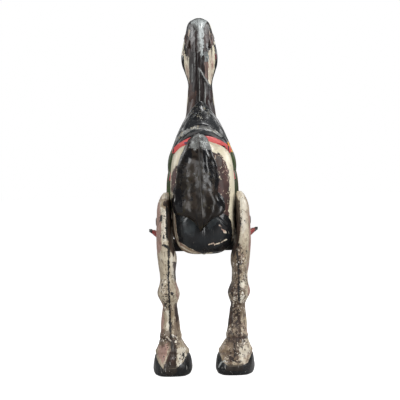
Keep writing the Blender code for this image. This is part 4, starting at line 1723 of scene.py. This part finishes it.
    def _blanket(self, effects: Effects) -> None:
        """Builds the blanket: a strip of the trunk's surface, swelled, with a raised hem.

        Args:
            effects: the shared shader groups.
        """
        hem = np.array(HEM)
        rows = even_curve(TRUNK, 40)
        rows = rows[(rows[:, 0] > -14.8) & (rows[:, 0] < 10.6) & (rows[:, 1] < 53)]
        angles = np.linspace(-math.pi * 0.75, math.pi * 0.75, 900)
        dense = Hide.sections(rows, angles)
        strips, edges = [], []
        for ring in dense:
            floor = np.interp(ring[:, 1], hem[:, 0], hem[:, 1])
            kept = ring[ring[:, 2] >= floor]
            pieces = np.linalg.norm(np.diff(kept, axis=0), axis=1)
            length = np.concatenate([[0], np.cumsum(pieces)])
            places = np.linspace(0, length[-1], 160)
            strips.append(np.stack([np.interp(places, length, kept[:, k]) for k in range(3)], 1))
            edges.append(np.minimum(places, length[-1] - places))
        points, across = np.array(strips), np.array(edges)
        ends = np.minimum(points[..., 1] + 14.8, 10.7 - points[..., 1])
        edge = np.minimum(across, np.maximum(ends, 0))
        skin = Skin("blanket", points, closed=False)
        rise = self.blanket_rise * np.clip(edge / 0.25, 0, 1) ** 0.5 - 0.12
        rise += 0.14 * hump(edge - self.hem_width * 0.5, 0.3) + 0.03 * waves(points, 3.0, 51)
        skin.swell(rise)
        skin.values["hem"] = self.hem_width - edge
        skin.values["hem_line"] = 0.14 - np.abs(edge - self.hem_width - 0.1)
        skin.build(BLANKET_FINISH.make(effects), Slot.RED, SIDE_TRIM)

    def _flap(self, side: Side, effects: Effects) -> None:
        """Builds one flap as rings that shrink to its middle, laid on the trunk's side.

        Args:
            side: the horse's own side.
            effects: the shared shader groups.
        """
        corners = even_curve(FLAP + FLAP[:1], 14)[:-1]
        middle = np.array([-2.6, 40.2])
        shares = np.linspace(0, 1, 60) ** 0.8
        flat = middle + (corners[None] - middle) * shares[:, None, None]
        edge = np.linalg.norm(corners - middle, axis=1)[None] * (1 - shares[:, None])
        rows = even_curve(TRUNK, 24)
        rows = rows[(rows[:, 0] > -12) & (rows[:, 0] < 7)]
        columns = [np.interp(flat[..., 0], rows[:, 0], column) for column in rows.T]
        half, low, top, widest = (columns[k] for k in (4, 3, 1, 5))
        upper, lower = columns[6:8]
        centre = low + (top - low) * widest
        above = flat[..., 1] >= centre
        reach = np.where(above, top - centre, centre - low)
        square = np.where(above, upper, lower)
        share = np.clip(np.abs(flat[..., 1] - centre) / reach, 0, 0.999)
        out = half * (1 - share**square) ** (1 / square)
        rise = self.flap_rise * np.clip(edge / 0.3, 0, 1) ** 0.5 - 0.15
        rise += 0.12 * hump(edge - 0.5, 0.25)
        fold = flat[..., 0] + 2.6 + 0.4 * np.sin(flat[..., 1])
        rise -= 0.08 * hump(edge - 1.25, 0.2) + 0.10 * hump(fold, 0.35)
        points = np.stack([side.value * (out + rise), flat[..., 0], flat[..., 1]], -1)
        skin = Skin("flap_" + side.word, points)
        skin.values["flap_border"] = 0.34 - np.abs(edge - 0.72)
        skin.values["flap_fold"] = 0.16 - np.abs(edge - 1.25)
        skin.build(FLAP_FINISH.make(effects), Slot.BLACK, SIDE_TRIM)


@dataclass
class Head:
    """Ears, eyes and the bridle straps on the head."""

    sides: int = 64
    steps: int = 16
    strap_half: float = 0.36
    strap_thick: float = 0.13
    strap_sides: int = 28
    strap_square: float = 3.2
    strap_sunk: float = 0.05
    strap_lift: float = 0.65
    # Straps as places on the head: how far along the trunk's rows, and the angle from its top
    straps: dict[str, tuple] = field(default_factory=lambda: {
        "crown_strap": ((11.75, -150), (11.6, -110), (11.55, -75), (11.6, -40), (11.7, 0),
            (11.6, 40), (11.55, 75), (11.6, 110), (11.75, 150)),
        "brow_strap": ((12.1, -92), (12.75, -60), (12.95, -30), (13.0, 0), (12.95, 30),
            (12.75, 60), (12.1, 92)),
        "nose_strap": tuple((15.35, a) for a in range(-180, 181, 30)),
        "cheek_strap_left": ((11.9, -84), (13.0, -99), (14.2, -106), (15.35, -104)),
        "cheek_strap_right": ((11.9, 84), (13.0, 99), (14.2, 106), (15.35, 104)),
    })

    def build(self, effects: Effects) -> None:
        """Builds both ears and eyes, and each strap.

        Args:
            effects: the shared shader groups.
        """
        finishes = (EAR_FINISH, EYE_FINISH, STRAP_FINISH)
        ear, eye, leather = (one.make(effects) for one in finishes)
        for side in Side:
            self._ear(side, ear)
            self._eye(side, eye)
        for name, path in self.straps.items():
            self._strap(name, path, leather)

    def _round(self, path: tuple, side: Side) -> np.ndarray:
        """Round sections along a path of centres.

        Args:
            path: rows that it follows.
            side: the horse's own side.

        Returns:
            Rings of points in units.
        """
        rows = even_curve(path, self.steps)
        centres = rows[:, :3] * np.array([side.value, 1, 1])
        along = heading(centres)
        across = unit(np.cross(along, np.array([0, 0.4, 1.0])))
        other = np.cross(across, along)
        angles = around(self.sides)
        ring = across[:, None] * (rows[:, 3:4] * np.sin(angles))[..., None]
        ring = ring + other[:, None] * (rows[:, 4:5] * np.cos(angles))[..., None]
        return centres[:, None] + ring

    def _ear(self, side: Side, finish: Material) -> None:
        """Builds one laid-back ear with its cup turned out and back.

        Args:
            side: the horse's own side.
            finish: the material.
        """
        points = self._round(EAR, side)
        skin = Skin("ear_" + side.word, points)
        out = skin.normals()
        facing = out @ (np.array([side.value * 0.75, -0.45, 0.5]) / 0.98)
        run = np.linspace(0, 1, len(points))[:, None]
        body = np.clip(np.sin(run * math.pi), 0, 1)
        cup = np.clip((facing - 0.72) / 0.28, 0, 1) * body
        lip = hump(facing - 0.66, 0.12) * body
        skin.swell(0.16 * lip - 0.38 * cup + 0.02 * waves(points, 0.9, 61)).dome(5, 0.1)
        pad = ((5, 5), (0, 0))
        skin.values["ear_cup"] = np.pad(cup - 0.25, pad, mode="edge")
        skin.values["ear_cavity"] = np.pad(cup - 0.75, pad, mode="edge")
        skin.values["ear_edge"] = np.pad(lip * 0.6 - 0.35, pad, mode="edge")
        skin.build(finish, Slot.CREAM)

    def _eye(self, side: Side, finish: Material) -> None:
        """Builds one eye: a dark ball with pale corners.

        Args:
            side: the horse's own side.
            finish: the material.
        """
        skin = Skin("eye_" + side.word, self._round(EYE, side)).dome(5, 0.08)
        y, z = skin.points[..., 1], skin.points[..., 2]
        skin.values["eye_white"] = np.hypot(y - 26.9, z - 69.1) - 0.72
        skin.build(finish, Slot.BLACK)

    def _strap(self, name: str, path: tuple, finish: Material) -> None:
        """Builds one flat strap that lies on the head.

        Args:
            name: the piece's name.
            path: rows that it follows.
            finish: the material.
        """
        places = even_curve(path, 14)
        fine = even_curve(TRUNK, 50)
        at = np.linspace(0, len(TRUNK) - 1, len(fine))
        rows = np.stack([np.interp(places[:, 0], at, column) for column in fine.T], 1)
        spots = [(row[None], np.array([turn])) for row, turn in zip(rows, np.radians(places[:, 1]))]
        centre, lifted = (
            np.array([Hide.sections(row, turn, rise)[0, 0] for row, turn in spots])
            for rise in (self.strap_sunk, self.strap_lift)
        )
        out = unit(lifted - centre)
        wide = unit(np.cross(heading(centre), out))
        c, s = even_ring(self.strap_sides, self.strap_square)
        points = centre[:, None] + wide[:, None] * (s * self.strap_half)[None, :, None]
        points = points + out[:, None] * (c * self.strap_thick)[None, :, None]
        Skin(name, points).dome(2, 0.02).build(finish, Slot.BLACK)


# Legs and steelwork

LEG_AREAS = (
    # Dark patches, and painted shade on the inner sides of the legs under the belly
    Area("leg_dark_paint_and_shade", (
        (162.2, 202, 165, 200.4, 170, 199.6, 171, 206, 166.4, 207.4, 163, 205.4),
        (169.4, 194, 178, 194, 178, 214, 176, 246, 173.6, 257, 169.8, 250, 167.4, 240, 166.8, 216,
            168.4, 204),
        (172.8, 262, 178, 262, 178, 276, 174.6, 282),
        (175, 303, 180, 304, 180, 318, 176, 323, 174.4, 313),
        (170.4, 338, 174.8, 340, 176.8, 352, 176.4, 368, 163, 369.6, 166, 359, 171, 350),
        (230, 192, 235.4, 193, 239.8, 202, 240.8, 222, 238.4, 246, 233.6, 257, 228, 246, 228, 215),
        (226, 298, 232.4, 301, 232.8, 322, 226, 328),
        (227, 275, 230.4, 275, 231.4, 292, 227, 294),
    )),
    Area("leg_stain", (
        (158, 326, 168, 330, 176, 336, 178, 344, 158, 346),
        (172.8, 318, 180, 316, 180, 336, 174.4, 338),
        (226, 240, 240, 246, 241.6, 270, 240, 286, 246.4, 290, 244, 312, 240, 330, 246, 344,
         236, 350, 226, 346, 228, 300),
        (224, 350, 238, 346, 238, 364, 226, 362),
    ), farther=-24),
    Area("leg_mottle", (
        (228, 240, 242, 246, 247, 262, 248, 290, 245, 320, 247, 345, 240, 364, 224, 362, 226, 300),
        (159.6, 280, 166, 279, 168.4, 300, 167.8, 314, 161.6, 310),
        (158, 332, 178, 334, 178, 343, 158, 342),
    ), farther=-24),
    Area("leg_pink", (
        (150, 205, 159.6, 203, 160.8, 225, 160.4, 252, 157.4, 254, 150, 250),
        (157, 296, 163, 304, 164.4, 322, 162.8, 336, 157, 332),
        (157.6, 345, 168, 343, 169.4, 350, 163, 362, 157.4, 356),
        (248.6, 206, 252, 206, 252, 252, 248.6, 250),
        (248, 262, 252, 262, 252, 330, 247, 331, 247.4, 300),
        (176, 268, 178, 268, 178, 300, 175.4, 296),
    ), farther=-22, wave=1.4),
    Area("leg_light", (
        (161.6, 191, 169.4, 191, 169, 198.4, 162.4, 199.6),
        (161, 208, 166.6, 208, 167, 240, 161.6, 246),
        (166.6, 311, 169.4, 311, 169.8, 335, 166.4, 335),
        (177, 346, 186, 348, 187, 357, 178, 366),
        (171, 250, 176, 252, 175, 280, 171.6, 280),
        (235, 190, 243, 191, 246.4, 202, 246.6, 232, 241.6, 234, 240.4, 204),
        (240, 280, 245, 282, 244.6, 291, 240, 290),
        (237.6, 344, 248.4, 344, 250, 352, 240, 363),
    ), farther=-25),
    Area("leg_seam", (), (
        (1.8, (166.8, 206, 166.6, 225, 166.8, 240)),
        (2.6, (163.6, 245, 168.6, 247.5, 168.8, 256)),
        (2.0, (168.6, 252, 168.4, 275, 168.6, 290)),
        (1.9, (168.8, 290, 169.8, 312, 170.8, 338)),
        (1.4, (236.6, 250, 238.4, 262, 239, 300)),
    )),
    Area("leg_grime", (
        (160.8, 283, 165.4, 285, 168, 296, 166.8, 308, 163, 303, 161, 293),
        (160, 334, 177.6, 336, 177.6, 341.4, 160, 340.4),
        (236.4, 258, 241.6, 258, 242, 292, 236.6, 294),
        (229.4, 285, 236, 287, 240, 300, 234, 306, 229.4, 300),
        (225, 332, 247.4, 334, 247.4, 342.6, 225, 341),
        (232, 305, 240, 305, 240, 326, 232, 326),
        (229, 346, 238, 344, 238, 362, 229, 362),
    )),
    Area("leg_chips", (
        (160.2, 214.6, 162.4, 215.2, 162.2, 221.6, 159.4, 221.4),
        (163.2, 234.6, 164.6, 235.4, 163.8, 239.6, 162.4, 238.6),
        (170.8, 291.6, 174, 292.6, 172.6, 296.2, 170.4, 294.6),
        (182.6, 351.4, 184.8, 355, 184.4, 358.2, 182.6, 356),
        (162.4, 355.4, 165, 356.2, 163.8, 358.8),
        (237.4, 242.4, 240, 243.6, 238.4, 247),
        (243.6, 219.4, 246, 219.8, 245, 222),
        (239.6, 222.6, 241.6, 223, 241, 226.4),
        (245.8, 250, 247.4, 250.6, 246.8, 254),
        (240.4, 262.8, 241.8, 263.2, 241.6, 266),
        (238.6, 299, 240, 300, 239.4, 304),
        (241.4, 346.4, 243, 347, 242.4, 350),
    ), (
        (0.9, (233.8, 342, 235.2, 350, 234.4, 357)),
        (0.8, (165, 226, 165.4, 229)),
        (0.7, (171.8, 262, 173, 262.8)),
    )),
    Area("hoof_brown", (
        (164, 366, 177, 366, 178, 372, 170, 376, 163, 372),
        (227, 364.4, 243, 364.4, 243, 371, 226, 371),
    )),
    Area("hoof_streak", (), ((1.5, (218.8, 367, 221, 362.6, 224.4, 361)),
        (0.7, (176, 366.4, 182, 363.6)))),
)
HOOF_OUTLINES = (
    (148, 351, 155, 352.6, 158.6, 362.6, 163.6, 369.6, 176, 368.6, 183, 362.4, 188.2, 352.2, 197,
        350, 197, 388, 148, 388),
    (212, 349, 218.4, 349.6, 222.8, 361.6, 229, 366.6, 240, 366.2, 247.4, 363, 251.4, 353.8, 260,
        351, 260, 388, 212, 388),
)


class LegKind(Enum):
    """Which pair a leg belongs to."""

    HIND = "hind"
    FORE = "fore"


@dataclass
class Leg:
    """One leg: a tall pressing with a welded seam down its back and front."""

    kind: LegKind
    side: Side
    sides: int = 132
    steps: int = 22
    square: float = 2.5
    gap: float = 0.28
    sway: float = -0.55
    sway_top: float = 28.0

    @property
    def table(self) -> tuple:
        """The sections of this kind of leg."""
        return HIND_LEG if self.kind is LegKind.HIND else FORE_LEG

    def root(self) -> float:
        """How far from the middle the leg hangs."""
        back, front = min(row[3] for row in self.table), max(row[4] for row in self.table)
        return max(row[4] for row in TRUNK if back <= row[0] and row[2] <= front) + self.gap

    def relief(self, points: np.ndarray, face: np.ndarray, across: np.ndarray) -> np.ndarray:
        """Seam flange, tendons, joints and coronet, as heights in units.

        Args:
            points: the grid in units.
            face: 1 at the front of each ring and -1 at its back.
            across: 1 at the outer face of each ring and -1 at its inner face.

        Returns:
            Heights over the grid.
        """
        z = points[..., 2]
        flange = hump(across, 0.055) * (z > 3.5)
        height = 0.13 * flange - 0.06 * hump(np.abs(across) - 0.17, 0.07) * (z > 3.5)
        tendon = hump(np.abs(across) - 0.42, 0.16) * (face < 0)
        shank = hump(z - 11.5, 3.4) + 0.5 * hump(z - 20.5, 2.0)
        height += 0.10 * tendon * shank - 0.12 * hump(np.abs(across) - 0.72, 0.15) * shank
        knob = 16.6 if self.kind is LegKind.HIND else 17.4
        height += 0.12 * hump(z - knob, 1.2) * np.abs(across) - 0.09 * hump(z - knob + 2.2, 0.6)
        height -= 0.16 * hump(z - 7.6, 0.32) - 0.10 * hump(z - 8.5, 0.5)
        height += 0.12 * hump(z - 5.2, 0.35) - 0.10 * hump(z - 4.6, 0.25)
        heel = hump(across, 0.32) * (face < 0)
        height -= 0.30 * heel * hump(z - 5.6, 2.2)
        height += 0.035 * waves(points, 2.4, 71) + 0.016 * waves(points, 0.8, 72)
        return height * np.clip(z / 0.6, 0, 1)

    def build(self, effects: Effects, finish: Material) -> None:
        """Builds the leg and its paint.

        Args:
            effects: the shared shader groups.
            finish: the material.
        """
        rows = even_curve(self.table, self.steps)
        c, s = even_ring(self.sides, self.square)
        centre_x = self.root() + (rows[:, 1] + rows[:, 2]) / 2
        half_x = (rows[:, 2] - rows[:, 1]) / 2
        centre_y, half_y = (rows[:, 3] + rows[:, 4]) / 2, (rows[:, 4] - rows[:, 3]) / 2
        lean = self.sway * np.maximum(0, 1 - rows[:, 0] / self.sway_top)
        x = self.side.value * (centre_x[:, None] + s * half_x[:, None]) + lean[:, None]
        y = centre_y[:, None] + c * half_y[:, None]
        points = np.stack([x, y, np.broadcast_to(rows[:, :1], x.shape)], -1)
        skin = Skin(f"leg_{self.kind.value}_{self.side.word}_skin", points)
        face, across = np.broadcast_to(c, x.shape), np.broadcast_to(s, x.shape)
        height = self.relief(points, face, across)
        low = points[..., 2].copy()
        skin.swell(height)
        skin.points[..., 2] = np.where(low < 0.4, low, skin.points[..., 2])
        skin.dome(8, 0.0)
        p = skin.points
        ring = 4.75 - p[..., 2] + 0.25 * np.sin(p[..., 1] * 1.3)
        if self.kind is LegKind.HIND:
            seen = SIGHT.inside(SIGHT.pixels(to_metres(p)), HOOF_OUTLINES).reshape(ring.shape)
            rear = np.clip((-25.5 - p[..., 1]) / 1.6, 0, 1)
            ring = seen * rear + ring * (1 - rear)
        skin.values["hoof"] = ring
        skin.values["hollow"] = -skin.values["relief"] * 4 - 0.30
        if self.kind is LegKind.FORE:
            around_leg = np.pad(across, ((8, 8), (0, 0)), mode="edge")
            skin.values.update(self._plain_areas(p, around_leg))
        made = skin.build(finish, Slot.CREAM, LEG_AREAS if self.kind is LegKind.HIND else ())
        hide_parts(f"leg_{self.kind.value}_{self.side.word}")

    def _plain_areas(self, p: np.ndarray, across: np.ndarray) -> dict[str, np.ndarray]:
        """Plainer paint for a leg that the photograph hides, in keeping with the others.

        Args:
            p: the grid in units.
            across: 1 at the outer face of each ring and -1 at its inner face.

        Returns:
            Distances over the grid, by area.
        """
        y, z = p[..., 1], p[..., 2]
        return {
            "leg_seam": np.where(z > 5, 0.02 - np.abs(across) * 1.2, NOWHERE),
            # Inner faces darker: dark paint and painted shade between the legs
            "leg_dark_paint_and_shade": -across * 1.2 - 0.75 + 0.4 * np.sin(z * 0.4),
            "leg_pink": across * 1.0 - 0.8 + 0.4 * np.sin(z * 0.33 + 1),
            "leg_light": 0.45 * np.sin(z * 0.7 + y) - 0.25,
            "leg_grime": np.maximum(0.5 - np.abs(z - 7.6), 0.7 - np.abs(z - 17.0) - np.abs(across)),
            "leg_mottle": 0.5 * np.sin(z * 0.31 + 1.5) - 0.2,
            "leg_stain": 0.45 * np.sin(z * 0.55 + y * 0.8 + 2) - 0.35,
            **{key: np.full_like(z, NOWHERE) for key in ("leg_chips", "hoof_brown", "hoof_streak")},
        }


@dataclass
class FootRest:
    """One upturned foot rest on the end of the bar through the belly."""

    side: Side
    sides: int = 72
    steps: int = 18
    square: float = 3.0
    bar_y: float = -2.0

    def build(self, finish: Material) -> None:
        """Builds the rest with ribs across its tread.

        Args:
            finish: the material.
        """
        rows = even_curve(FOOT_REST, self.steps)
        c, s = even_ring(self.sides, self.square)
        tall = (rows[:, 3:4] - rows[:, 2:3]) / 2
        z = (rows[:, 2:3] + rows[:, 3:4]) / 2 + s * tall
        y = self.bar_y + c * rows[:, 1:2]
        x = np.broadcast_to(self.side.value * rows[:, :1], y.shape)
        points = np.stack([x, y, z], -1)
        skin = Skin("foot_rest_" + self.side.word + "_skin", points)
        tread = np.clip(s, 0, 1)[None] ** 0.5
        ribs = 0.05 * np.cos(np.abs(x) * 9) * tread * (np.abs(x) > 8.2)
        skin.swell(ribs + 0.02 * waves(points, 1.2, 81)).dome(6, 0.02)
        reach = np.abs(skin.points[..., 0])
        foot = 0.25 - np.abs(skin.points[..., 2] - 27.5) - (reach < 8.6)
        skin.values["peg_tip"] = np.maximum(reach - 10.9, foot)
        skin.values["peg_light"] = 0.4 - np.abs(reach - 9.8)
        made = skin.build(finish, Slot.RED)
        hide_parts("foot_rest_" + self.side.word)


@dataclass
class Steelwork:
    """The riveted rods, the flat ties and the bar through the belly, which stay as packed."""

    rods: tuple[str, ...] = ("hip_rod", "shoulder_rod", "rest_bar")
    ties: tuple[str, ...] = ("hind_tie", "fore_tie")

    def build(self, effects: Effects) -> None:
        """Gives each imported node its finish.

        Args:
            effects: the shared shader groups.
        """
        steel, enamel = STEEL_FINISH.make(effects), TIE_FINISH.make(effects)
        for names, finish in ((self.rods, steel), (self.ties, enamel)):
            for name in names:
                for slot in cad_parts[name].material_slots:
                    slot.material = finish
                log.info("%s: %s", name, finish.name)


# The studio


@dataclass
class Studio:
    """A pale floor, soft lights and the camera."""

    floor_half: float = 60.0
    floor_tone: float = 0.42
    floor_shade: Colour = (0.98, 0.98, 0.97)
    floor_mottle: float = 3.0
    floor_rough: float = 0.7
    floor_glow: float = 0.97
    sky_seen: float = 1.0
    sky_light: float = 0.10
    # Each light: place, what it looks at, size across and down, power
    lights: tuple = (
        ((0.5, 0.5, 3.0), (0, 0, 0.4), (1.0, 1.0), 46.0),
        ((1.4, -2.2, 2.1), (0, 0, 0.4), (0.9, 0.7), 14.0),
        ((2.5, -2.5, 1.0), (0, -0.2, 0.4), (1.8, 2.2), 84.0),
        ((-2.5, -2.5, 0.9), (0, -0.2, 0.4), (1.8, 2.2), 74.0),
        ((-2.6, 2.0, 1.7), (0, 0.1, 0.4), (1.4, 1.6), 26.0),
        ((2.6, 2.0, 1.7), (0, 0.1, 0.4), (1.4, 1.6), 26.0),
    )

    def build(self) -> None:
        """Builds the studio and frames the horse."""
        SIGHT.make_camera()
        self._sky()
        self._floor()
        for index, (place, target, size, power) in enumerate(self.lights):
            lamp = bpy.data.lights.new(f"soft box {index}", "AREA")
            lamp.shape, lamp.size, lamp.size_y, lamp.energy = "RECTANGLE", size[0], size[1], power
            made = bpy.data.objects.new(lamp.name, lamp)
            made.location = place
            look = Vector(target) - Vector(place)
            made.rotation_euler = look.to_track_quat("-Z", "Y").to_euler()
            bpy.context.scene.collection.objects.link(made)
        bpy.context.scene.view_settings.view_transform = "Standard"

    def _sky(self) -> None:
        """A white surround for the eye that lights the horse more softly."""
        world = bpy.data.worlds.new("white surround")
        world.use_nodes = True
        bpy.context.scene.world = world
        tree = Tree(world.node_tree)
        ground = world.node_tree.nodes["Background"]
        ground.inputs["Color"].default_value = (1.0, 1.0, 1.0, 1.0)
        seen = tree.add("ShaderNodeLightPath").outputs["Is Camera Ray"]
        more = tree.times(seen, self.sky_seen - self.sky_light)
        tree.put(tree.plus(more, self.sky_light), ground.inputs["Strength"])

    def _floor(self) -> None:
        """The plain pale floor, with a faint unevenness."""
        half = self.floor_half
        mesh = bpy.data.meshes.new("floor")
        corners = [(-half, -half, 0), (half, -half, 0), (half, half, 0), (-half, half, 0)]
        mesh.from_pydata(corners, [], [(0, 1, 2, 3)])
        paper = bpy.data.materials.new("pale floor")
        paper.use_nodes = True
        tree = Tree(paper.node_tree)
        shader = paper.node_tree.nodes["Principled BSDF"]
        place = tree.add("ShaderNodeTexCoord").outputs["Object"]
        light = (self.floor_tone,) * 3
        dark = tuple(self.floor_tone * share for share in self.floor_shade)
        mottle = tree.mix("RGBA", tree.noise(place, self.floor_mottle), light, dark)
        tree.put(mottle, shader.inputs["Base Color"])
        shader.inputs["Roughness"].default_value = self.floor_rough
        shader.inputs["Emission Color"].default_value = (1.0, 1.0, 1.0, 1.0)
        seen = tree.add("ShaderNodeLightPath").outputs["Is Camera Ray"]
        tree.put(tree.times(seen, self.floor_glow), shader.inputs["Emission Strength"])
        mesh.materials.append(paper)
        made = bpy.data.objects.new("floor", mesh)
        bpy.context.scene.collection.objects.link(made)


def main() -> None:
    """Builds the horse from its hide to its hooves, then the studio."""
    logging.basicConfig(level=logging.INFO, format="%(message)s")
    effects = Effects.make()
    Hide().build(effects)
    TAIL_HAIR.build(effects)
    MANE_HAIR.build(effects)
    Saddle().build(effects)
    Head().build(effects)
    leg_paint = LEG_FINISH.make(effects)
    for kind in LegKind:
        for side in Side:
            Leg(kind, side).build(effects, leg_paint)
    peg_paint = PEG_FINISH.make(effects)
    for side in Side:
        FootRest(side).build(peg_paint)
    Steelwork().build(effects)
    Studio().build()


if __name__ == "__main__":
    main()
